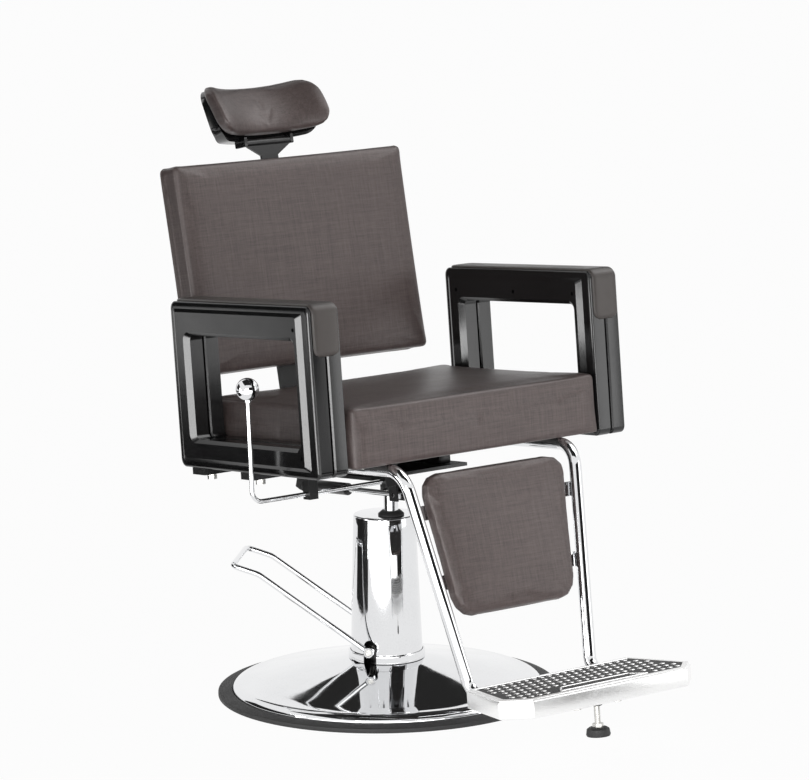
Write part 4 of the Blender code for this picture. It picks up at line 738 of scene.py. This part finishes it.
rod_hole = turned([(0.0, hole_low), (hole_radius, hole_low), (hole_radius, hole_high), (0.0, hole_high)], 64)
bmesh.ops.remove_doubles(rod_hole, verts=rod_hole.verts, dist=0.000002)
carve(cover, rod_hole, Matrix.Translation((0.0, ROD_Y, 0.0)))

band_inner, band_thick, band_high = foot_radius + FIT, 0.0035, 0.014
band_foot = dome_height(band_inner) + FIT
band = [(band_inner, band_foot), (band_inner + band_thick, band_foot)]
band += arc((band_inner + band_thick - 0.0012, band_foot + band_high - 0.0012), (0.0012, 0.0012), 0, 90, 4)
band += [(band_inner, band_foot + band_high)]
trim = make_piece("cover_foot_trim", turned(band, FINE_SIDES), chrome, "base",
                  stands_for=["cover_band"])
carve(trim, arched_slot(0.0, 0.13), PEDAL_AXES)

# %% [markdown]
# ## Rods and tubes
# The piston rod, the leg tubes, the pump pedal and the recline lever are round bars. A curve with
# a bevel would draw them too. Here a circle is swept along a path with rounded bends, which gives
# a plain mesh with even quads. The pedal ends in two eyes on its shaft, like flattened rings.

# %% Piston rod and leg tubes
ROD_BOTTOM, ROD_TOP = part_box("piston_rod")[0].z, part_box("piston_rod")[1].z
rod = [(0.0, ROD_BOTTOM), (ROD_RADIUS, ROD_BOTTOM), (ROD_RADIUS, ROD_TOP), (0.0, ROD_TOP)]
make_piece("polished_piston", turned(rod, 64, centre=(0.0, ROD_Y)), chrome, "piston",
           stands_for=["piston_rod"])

LEG_RADIUS = 0.011
LEG_TOP, LEG_FOOT = Vector((0.1837, -0.2862, 0.0378)), Vector((0.129, -0.3611, -0.3378))
for word, way in SIDES:
    corners = [(LEG_TOP.x, -0.0543, LEG_TOP.z), LEG_TOP, LEG_FOOT, (LEG_FOOT.x, -0.550, LEG_FOOT.z)]
    path = filleted([(way * x, y, z) for x, y, z in corners], [0.045, 0.030])
    make_piece(word + "_bent_leg", swept(path, LEG_RADIUS, 32), chrome, "seat", SEAT_AXES,
               stands_for=[word + "_leg_tube"])

# %% Pump pedal
PEDAL_HALF, PEDAL_ROD = 0.077, 0.005
corners = [(0.0, -PEDAL_HALF, 0.0), (0.192, -PEDAL_HALF, 0.138), (0.238, -PEDAL_HALF, 0.153),
           (0.238, PEDAL_HALF, 0.153), (0.192, PEDAL_HALF, 0.138), (0.0, PEDAL_HALF, 0.0)]
path = filleted(corners, [0.045, 0.013, 0.013, 0.045])
path[0] = path[0].lerp(path[1], 0.045)
path[-1] = path[-1].lerp(path[-2], 0.045)
bm = swept(path, PEDAL_ROD, 24)
EYE_BORE, EYE_RADIUS, EYE_HALF, EYE_EDGE = 0.0063, 0.0095, 0.005, 0.001
eye = [(EYE_BORE, -EYE_HALF), (EYE_RADIUS - EYE_EDGE, -EYE_HALF), (EYE_RADIUS, -EYE_HALF + EYE_EDGE),
       (EYE_RADIUS, EYE_HALF - EYE_EDGE), (EYE_RADIUS - EYE_EDGE, EYE_HALF), (EYE_BORE, EYE_HALF)]
for middle in (-PEDAL_HALF, PEDAL_HALF):
    bridge(bm, [[(radius * a, middle + along, radius * b) for a, b in circle(40)]
                for radius, along in eye], closed=True)
make_piece("pedal_loop", bm, chrome, "pedal", PEDAL_AXES, stands_for=["pump_pedal"])

# %% [markdown]
# The recline lever rises beside the arm and ends in a polished ball. Under the seat it turns in a
# bearing and a hook and carries a flat finger that presses the strut's valve.

# %% Recline lever
LEVER_AXES = tilted_axes((0.0, -0.114922, 0.404877), -4.75)
LEVER_OUT, LEVER_IN, LEVER_ROD, BALL_RADIUS = -0.36, -0.034, 0.004, 0.0195
LEVER_TOP = Vector((LEVER_OUT, -0.009, 0.192))
path = filleted([LEVER_TOP, (LEVER_OUT, 0.0, 0.0), (LEVER_IN, 0.0, 0.0)], [0.020])
bm = swept(path, LEVER_ROD, 24)
low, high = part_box("recline_lever")
finger_low = low.z - LEVER_AXES.translation.z
finger = [(-0.046, -0.004), (-0.034, -0.004), (-0.034, 0.004), (-0.046, 0.004)]
bridge(bm, [[(x, y, z) for x, y in finger] for z in (finger_low + 0.0005, 0.0)])
make_piece("lever_rod", bm, chrome, "lever", LEVER_AXES, stands_for=["recline_lever"])

ball = bmesh.new()
bmesh.ops.create_uvsphere(ball, u_segments=64, v_segments=40, radius=BALL_RADIUS)
neck = [(0.0, -BALL_RADIUS * 1.12), (0.0062, -BALL_RADIUS * 1.12), (0.0066, -BALL_RADIUS * 1.02),
        (0.0066, -BALL_RADIUS * 0.90), (0.0, -BALL_RADIUS * 0.90)]
turned(neck, 40, ball)
make_piece("lever_ball", ball, chrome, "lever", LEVER_AXES @ Matrix.Translation(LEVER_TOP),
           stands_for=["lever_knob"])

# %% [markdown]
# ## The arms
# Each arm is two moulded half shells with a window through them. The faces carry a raised panel
# with sloped borders, and these slopes draw the bright strips in the picture. A shell is a loop of
# rounded outlines: from the seam round the outside, over the panel, into the window and back inside.

# %% Arm outlines
SEAM_X, ARM_FACE, ARM_RISE = 0.2995, 0.034, 0.0022
ARM_FRONT, ARM_REAR, ARM_BOTTOM, ARM_TOP = -0.2535, 0.1605, 0.0398, 0.3278
ARM_CORNER, WINDOW_CORNER, PANEL_CORNER, ARM_WALL, ARM_STEPS = 0.013, 0.010, 0.005, 0.003, 12
PANEL_BORDER, WINDOW_WIDTHS = 0.012, (0.0495, 0.0535, 0.050, 0.058)


def arm_loop(x, front, rear, bottom, top, corner):
    """A rounded outline across the arm, set in from its four sides."""
    return [(x, y, z) for y, z in outline(ARM_FRONT + front, ARM_REAR - rear, ARM_BOTTOM + bottom,
                                          ARM_TOP - top, corner, ARM_STEPS)]


def outer_loop(x, inset):
    """An outline of the arm, inside its outer edge."""
    return arm_loop(x, inset, inset, inset, inset, ARM_CORNER - inset / 2)


def panel_loop(x, inset, front):
    """An outline of the raised panel, which lies further in at the front."""
    border = PANEL_BORDER + inset
    return arm_loop(x, front, border, border, border, PANEL_CORNER)


def window_loop(x, outset, rear=0.0):
    """An outline of the arm's window, outside its edge and a little more so at the rear."""
    front, back, bottom, top = (width - outset for width in WINDOW_WIDTHS)
    return arm_loop(x, front, back - rear, bottom, top, WINDOW_CORNER + outset)


def dipped(loop, depth):
    """Lowers the front of a loop, so that the panel's front border slopes more."""
    return [(x - depth if y < ARM_FRONT + 0.03 else x, y, z) for x, y, z in loop]


print("arm outlines ready")

# %% [markdown]
# Screws hold the two halves together. A dark disc would look like a hole from the front only, so
# their holes are cut with a Boolean, before a Bevel modifier rounds all the edges of the shell.

# %% Arm shells
HOLE_RADIUS = 0.0034
INNER_SCREWS = [(0.124, 0.2885), (-0.0415, 0.2885), (-0.2065, 0.2885)]
OUTER_SCREWS = [(-0.209, 0.2885), (-0.209, 0.0745)]


def screw_hole(shell, x, y, z):
    """A round hole through one face, for a screw that holds the two halves."""
    drill = [[(x + reach, y + HOLE_RADIUS * a, z + HOLE_RADIUS * b) for a, b in circle(24)]
             for reach in (-0.006, 0.006)]
    carve(shell, bridge(bmesh.new(), drill), SEAT_AXES)


def arm_shell(word, way, half, name, screws):
    """One moulded half of an arm."""
    def at(distance):
        return way * (SEAM_X + half * distance)
    seam, groove, edge, chamfer = 0.0015, 0.0025, 0.005, 0.006
    rim, dip = ARM_FACE - ARM_RISE, way * half * 0.0012
    loops = [outer_loop(at(seam), groove), outer_loop(at(seam + groove), 0.0)]
    for step in range(ARM_STEPS + 1):
        turn = math.pi / 2 * step / ARM_STEPS
        loop = outer_loop(at(rim - edge + edge * math.sin(turn)), 0.0105 * (1 - math.cos(turn)))
        loops.append(dipped(loop, dip * step / ARM_STEPS))
    loops += [dipped(panel_loop(at(rim), 0.0, 0.0225), dip), panel_loop(at(ARM_FACE), 0.006, 0.0365),
              window_loop(at(ARM_FACE), chamfer, 0.008), window_loop(at(ARM_FACE - 0.005), 0.0),
              window_loop(at(seam + groove), 0.0), window_loop(at(seam), groove),
              window_loop(at(seam), groove + ARM_WALL),
              window_loop(at(rim - 0.008 - ARM_WALL), ARM_WALL),
              window_loop(at(rim - 0.003 - ARM_WALL), chamfer + ARM_WALL),
              outer_loop(at(rim - 0.003 - ARM_WALL), edge + ARM_WALL),
              outer_loop(at(rim - edge - ARM_WALL), ARM_WALL),
              outer_loop(at(seam), groove + ARM_WALL)]
    shell = make_piece(f"{word}_arm_{name}_moulding", bridge(bmesh.new(), loops, closed=True),
                       black_plastic, "seat", SEAT_AXES, sharp=180,
                       stands_for=[f"{word}_arm_{name}_shell"])
    for y, z in screws:
        screw_hole(shell, at(ARM_FACE), y, z)
    round_creases(shell, 10, 0.0010, 3)


for word, way in SIDES:
    for half, name, screws in ((1, "outer", OUTER_SCREWS), (-1, "inner", INNER_SCREWS)):
        arm_shell(word, way, half, name, screws)

# %% [markdown]
# ## The arm pads
# A strip of skinned foam lies along each arm and turns down over its front. It is moulded, not
# sewn, so no cloth simulation is needed: a crowned section is swept along the arm's top and front
# with many steps, and both ends close in a rounded tongue.

# %% Arm pads
PAD_HALF, PAD_THICK, PAD_DROP = 0.026, 0.0042, 0.085
PAD_STEPS, PAD_RINGS, PAD_TIP = 16, 90, 0.014


def pad_section(width, thick):
    """Half-round edges and a gently crowned face, as (across, out) pairs from side to side."""
    points = []
    for step in range(PAD_STEPS + 1):
        across = -math.cos(math.pi * step / PAD_STEPS)
        rise = (1 - abs(across) ** 12) ** 0.5
        points.append((width * across, thick * rise * (0.86 + 0.14 * (1 - across * across))))
    return points


def arm_pad(word, way):
    """The pad of one arm, in the seat's axes."""
    top, front, corner = ARM_TOP + FIT, ARM_FRONT - FIT, ARM_CORNER + FIT
    turn_y, turn_z, rear = front + corner, top - corner, ARM_REAR - 0.008
    run = rear - turn_y
    bend, drop = corner * math.pi / 2, PAD_DROP - corner
    total = run + bend + drop
    rings = []
    for step in range(PAD_RINGS + 1):
        share = step / PAD_RINGS
        share = share + 0.9 * (share - share * share) * (0.5 - share) * -0.6
        along = total * share
        if along < run:
            place, out = (turn_y + run - along, top), (0.0, 1.0)
        elif along < run + bend:
            turn = (along - run) / corner
            out = (-math.sin(turn), math.cos(turn))
            place = (turn_y + corner * out[0], turn_z + corner * out[1])
        else:
            place, out = (front, turn_z - (along - run - bend)), (-1.0, 0.0)
        to_end = min(along, total - along)
        closing = math.sqrt(max(0.0, 1 - (1 - min(1.0, to_end / PAD_TIP)) ** 2))
        width = PAD_HALF - 0.012 * (1 - closing)
        thick = PAD_THICK * (0.25 + 0.75 * math.sqrt(closing))
        rings.append([(way * SEAM_X + across, place[0] + out[0] * rise, place[1] + out[1] * rise)
                      for across, rise in pad_section(width, thick)])
    pad = make_piece(word + "_arm_rest", bridge(bmesh.new(), rings), pad_skin, "seat",
                     SEAT_AXES, sharp=60, stands_for=[word + "_arm_pad"])


for word, way in SIDES:
    arm_pad(word, way)

# %% [markdown]
# ## The cushions
# Foam blocks covered in vinyl sit on boards. The CAD solids already have their boxed shape with
# drawn-in sides. In a real cushion the foam pushes its cover out, so each block is remeshed into
# even quads and blown up a little by Blender's cloth simulation with gravity off. A Lattice could
# round it too, but would not follow the edges. The side that rests on its board is held. The
# movement is capped and applied, so that no simulation is left on the piece. The back's sewn seam
# is pressed in afterwards.

# %% Cloth helpers
SIM_FRAMES = 20


def foam_block(node_name, name, axes):
    """A copy of a CAD solid in its own axes."""
    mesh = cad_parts[node_name].data.copy()
    mesh.transform(axes.inverted())
    if "custom_normal" in mesh.attributes:
        mesh.attributes.remove(mesh.attributes["custom_normal"])
    bm = bmesh.new()
    bm.from_mesh(mesh)
    bmesh.ops.remove_doubles(bm, verts=bm.verts, dist=0.00002)
    bm.to_mesh(mesh)
    bm.free()
    block = add_object(name, mesh)
    block.matrix_world = axes
    return block


def even_quads(block, voxel):
    """Remeshes a block into quads of one size."""
    block.data.remesh_voxel_size = voxel
    bpy.context.view_layer.objects.active = block
    block.select_set(True)
    bpy.ops.object.voxel_remesh()
    block.select_set(False)


def blow_up(block, held_side, cap, pressure):
    """Fills a block with air, holds its resting side, and keeps the result within a cap."""
    mesh = block.data
    before = [vert.co.copy() for vert in mesh.vertices]
    held = block.vertex_groups.new(name="held")
    resting = [vert.index for vert in mesh.vertices if vert.normal.dot(held_side) > 0.75]
    held.add(resting, 1.0, "REPLACE")
    cloth = block.modifiers.new("vinyl", "CLOTH")
    sheet = cloth.settings
    sheet.use_pressure, sheet.uniform_pressure_force = True, pressure
    sheet.effector_weights.gravity = 0.0
    sheet.vertex_group_mass = "held"
    sheet.tension_stiffness = sheet.compression_stiffness = 25.0
    sheet.bending_stiffness = 2.0
    sheet.quality = 5
    cloth.point_cache.frame_start, cloth.point_cache.frame_end = 1, SIM_FRAMES
    for step in range(1, SIM_FRAMES + 1):
        scene.frame_set(step)
    moved = block.evaluated_get(bpy.context.evaluated_depsgraph_get()).data
    after = [vert.co.copy() for vert in moved.vertices]
    block.modifiers.remove(cloth)
    farthest = 0.0
    for vert, start, end in zip(mesh.vertices, before, after):
        way = end - start
        if way.length > cap:
            way *= cap / way.length
        vert.co = start + way
        farthest = max(farthest, way.length)
    scene.frame_set(1)
    block.vertex_groups.clear()
    return farthest


def refine(block):
    """One smoothing subdivision, applied."""
    smooth = block.modifiers.new("smooth", "SUBSURF")
    smooth.levels = smooth.render_levels = 1
    apply_modifiers(block)


def press_seam(block, axis, place, width=0.0035, depth=0.0014):
    """Presses a sewn seam into the cover where it crosses a plane of the block's own axes."""
    for vert in block.data.vertices:
        near = abs(vert.co[axis] - place) / width
        if near < 1.0:
            flat = vert.normal.copy()
            flat[axis] = 0.0
            vert.co -= flat * depth * (1 - near) ** 1.5


print("cloth helpers ready")

# %% [markdown]
# The headrest is a moulded shell with a pad on it, and both curl forwards round the sitter's head. The
# CAD has a gentler curve, so both are curled a little more here. A Simple Deform modifier could bend
# them. A short function that moves points is easier to keep equal on the two pieces.

# %% Headrest shell
HEAD_HALF, HEAD_FOOT, HEAD_TALL, HEAD_LEAN, HEAD_WRAP = 0.126, 0.583, 0.092, 0.55, 0.020
HEAD_SLICE, PAD_DEPTH, BULGE = 0.1 / 3, 0.030, 0.009
CURL_WIDTH, CURL_FORWARD, CURL_UP = 0.92, 0.025, 0.006
SHELL_HALF, SHELL_FRONT, SHELL_LOW, SHELL_HIGH = 0.115, 0.0703, 0.573, 0.671
SHELL_THICK, SHELL_EXTRA, SHELL_END, SHELL_EDGE = 0.012, 0.022, 0.026, 0.0054
EAR_LOW, EAR_HIGH, EAR_IN, EAR_OUT, EAR_REACH, EAR_EDGE = 0.5635, 0.5818, 0.0473, 0.0533, 0.0065, 0.003
PIN_PLACE = BACK_AXES.inverted() @ (sum(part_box("headrest_pin"), Vector()) / 2)


def curl(point):
    """Draws the ends of the headrest inwards, forwards and up."""
    end = (point.x / HEAD_HALF) ** 2
    return Vector((point.x * CURL_WIDTH, point.y - CURL_FORWARD * end, point.z + CURL_UP * end))


def lean(z):
    """How far back the headrest is at a height."""
    return HEAD_LEAN * max(0.0, z - HEAD_FOOT)


def bulge(point):
    """Rounds the front of the pad upwards, and evens out the CAD's flat slices across."""
    past = abs(point.x) % HEAD_SLICE if abs(point.x) < 3 * HEAD_SLICE else 0.0
    flat = HEAD_WRAP / HEAD_HALF ** 2 * past * (HEAD_SLICE - past)
    up = min(1.0, max(0.0, (point.z - HEAD_FOOT) / HEAD_TALL))
    depth = min(1.0, max(0.0, (SHELL_FRONT - point.y + lean(point.z)) / PAD_DEPTH))
    return Vector((point.x, point.y + flat - BULGE * 4 * up * (1 - up) * depth, point.z))


def shell_ring(x):
    """One upright slice of the shell, wrapped and leaning like the CAD's."""
    beyond = max(0.0, abs(x) - SHELL_HALF + SHELL_END) / SHELL_END
    trim = SHELL_END * (1 - math.sqrt(max(0.0, 1 - beyond ** 2)))
    front = SHELL_FRONT - HEAD_WRAP * (x / HEAD_HALF) ** 2
    ring = outline(0.0, 1.0, SHELL_LOW + trim, SHELL_HIGH - trim, SHELL_EDGE)
    deep = [SHELL_THICK + SHELL_EXTRA * (SHELL_HIGH - z) / (SHELL_HIGH - SHELL_LOW) for _, z in ring]
    return [curl(Vector((x, front + y * thick + lean(z), z))) for (y, z), thick in zip(ring, deep)]


shares = [math.sin(math.pi / 2 * step / 24) for step in range(-24, 25)]
shell_bm = bridge(bmesh.new(), [shell_ring(SHELL_HALF * share) for share in shares])
ear = outline(PIN_PLACE.y - EAR_REACH, SHELL_FRONT + SHELL_THICK / 2, EAR_LOW, EAR_HIGH, EAR_EDGE)
for way in (-1, 1):
    bridge(shell_bm, [[(way * x, y, z) for y, z in ear] for x in (EAR_IN, EAR_OUT)])
make_piece("headrest_cover", shell_bm, black_plastic, "headrest", BACK_AXES,
           stands_for=["headrest_shell"])

# %% [markdown]
# Each cushion has its own table row: the solid it stands for, its body and axes, the side it rests on,
# the voxel size, the cap, the air pressure, where its boxing seam runs, and whether it is curled.

# %% Make the cushions
ALONG, UNDER, BEHIND = 1, Vector((0, 0, -1)), Vector((0, 1, 0))
BACK_SEAM = (ALONG, 0.027)
CUSHIONS = [
    ("seat_cushion", "seat_upholstery", "seat", SEAT_AXES, UNDER, 0.0050, 0.0025, 4.0, None, False),
    ("back_cushion", "back_upholstery", "back", BACK_AXES, BEHIND, 0.0050, 0.0025, 4.0, BACK_SEAM, False),
    ("calf_pad", "calf_upholstery", "seat", CALF_AXES, BEHIND, 0.0042, 0.0020, 3.0, None, False),
    ("headrest_pad", "head_upholstery", "headrest", BACK_AXES, BEHIND, 0.0038, 0.0020, 3.0, None, True),
]


def cushion(solid, name, body, axes, held_side, voxel, cap, pressure, seam, curled):
    """A filled cushion in place of a CAD solid."""
    block = foam_block(solid, name, axes)
    even_quads(block, voxel)
    if curled:
        for vert in block.data.vertices:
            vert.co = curl(bulge(vert.co))
    swell = blow_up(block, held_side, cap, pressure)
    refine(block)
    if seam:
        press_seam(block, *seam)
    block.data.materials.clear()
    block.data.materials.append(vinyl)
    block.data.shade_smooth()
    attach(block, body)
    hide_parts(solid)
    print("cushion", name, "points", len(block.data.vertices), "moved", round(swell * 1000, 1), "mm")


for row in CUSHIONS:
    cushion(*row)

# %% [markdown]
# ## The footrest's top
# The cast tray has a raised lip round a dark inset with rows of bright oval studs, set in brick
# fashion, and a framed plate in the middle of its front edge. The plate stays blank. An array
# modifier could repeat the studs. A loop lets rows stop where the frame and the slanted ends begin.

# %% Studs and blank plate
TRAY_TOP, MAT_THICK, MAT_EDGE = -0.3215, 0.0025, 0.013
MAT_TOP = TRAY_TOP + FIT + MAT_THICK
STUD_LONG, STUD_WIDE, STUD_HIGH = 0.0056, 0.0042, 0.0016
ROW_STEP, STUD_STEP = 0.0196, 0.0165
PLATE_REAR_HALF, PLATE_FRONT_HALF, PLATE_REAR, PLATE_FRONT = 0.073, 0.0965, -0.528, -0.557
TRAY_POINTS = [(0.174, -0.406), (0.206, -0.533), (0.166, -0.572)]
STUD_CLEAR, SUNK = 0.0215, 0.0004


def inset_tray(distance):
    """The tray's outline, drawn in by a distance."""
    points = [(-x, y) for x, y in TRAY_POINTS] + list(reversed(TRAY_POINTS))
    drawn = []
    for before, here, after in zip(points[-1:] + points, points, points[1:] + points[:1]):
        here = Vector(here)
        first, second = (here - Vector(before)).normalized(), (Vector(after) - here).normalized()
        inward = Vector((-first.y - second.y, first.x + second.x)).normalized()
        drawn.append(here + inward * distance / inward.dot(Vector((-first.y, first.x))))
    return drawn


mat = [[(x, y, z) for x, y in inset_tray(MAT_EDGE + draw)]
       for draw, z in ((0.0, MAT_TOP - MAT_THICK), (0.0, MAT_TOP - 0.0006), (0.0006, MAT_TOP))]
make_piece("studded_mat", bridge(bmesh.new(), mat), black_rubber, "seat", SEAT_AXES,
           stands_for=["footrest_mat"])
lip = [[(x, y, MAT_TOP + rise) for x, y in inset_tray(draw)] for draw, rise in (
    (0.0026, -0.0028), (0.0026, -0.0006), (0.0032, 0.0), (MAT_EDGE - 0.0009, 0.0003),
    (MAT_EDGE - 0.0003, -0.0003), (MAT_EDGE - 0.0003, -0.0028))]
make_piece("tray_lip", bridge(bmesh.new(), lip, closed=True), aluminium, "seat",
           SEAT_AXES)


def tray_half_width(y):
    """Half the tray's width at a depth, between its slanted ends."""
    for (x0, y0), (x1, y1) in zip(TRAY_POINTS, TRAY_POINTS[1:]):
        if y0 >= y >= y1:
            return x0 + (x1 - x0) * (y - y0) / (y1 - y0)
    return 0.0


def oval_stud(bm, x, y):
    """A low oval dome that stands on the mat."""
    rings = []
    for step in range(5):
        turn = math.pi / 2 * step / 4
        share, z = max(math.cos(turn), 0.02), MAT_TOP - SUNK + STUD_HIGH * math.sin(turn)
        rings.append([(x + STUD_LONG * share * a, y + STUD_WIDE * share * b, z) for a, b in circle(20)])
    bridge(bm, rings)


studs = bmesh.new()
count = 0
for row in range(8):
    y = TRAY_POINTS[0][1] - STUD_CLEAR - 0.002 - row * ROW_STEP
    if y < TRAY_POINTS[-1][1] + STUD_CLEAR * 0.9:
        break
    half = tray_half_width(y) - STUD_CLEAR
    shift = STUD_STEP / 2 if row % 2 else 0.0
    steps = int((half - shift) / STUD_STEP)
    for step in range(-steps - (1 if shift else 0), steps + 1):
        x = step * STUD_STEP + shift
        if y < PLATE_REAR + 0.007 and abs(x) < PLATE_FRONT_HALF + 0.006:
            continue
        oval_stud(studs, x, y)
        count += 1
print("studs", count)
make_piece("footrest_studs", studs, aluminium, "seat", SEAT_AXES)

border = []
spread = (PLATE_FRONT_HALF / PLATE_REAR_HALF - 1) / (PLATE_REAR - PLATE_FRONT)
for inset, rise in ((0.0, -SUNK), (0.0, 0.0012), (0.0006, 0.0017), (0.0026, 0.0017), (0.0032, 0.0012),
                    (0.0032, -SUNK)):
    loop = outline(-PLATE_REAR_HALF + inset, PLATE_REAR_HALF - inset, PLATE_FRONT + inset, PLATE_REAR - inset,
                   0.005 - inset)
    border.append([(x * (1 + spread * (PLATE_REAR - y)), y, MAT_TOP + rise) for x, y in loop])
make_piece("footrest_plate_frame", bridge(bmesh.new(), border, closed=True), aluminium, "seat",
           SEAT_AXES)
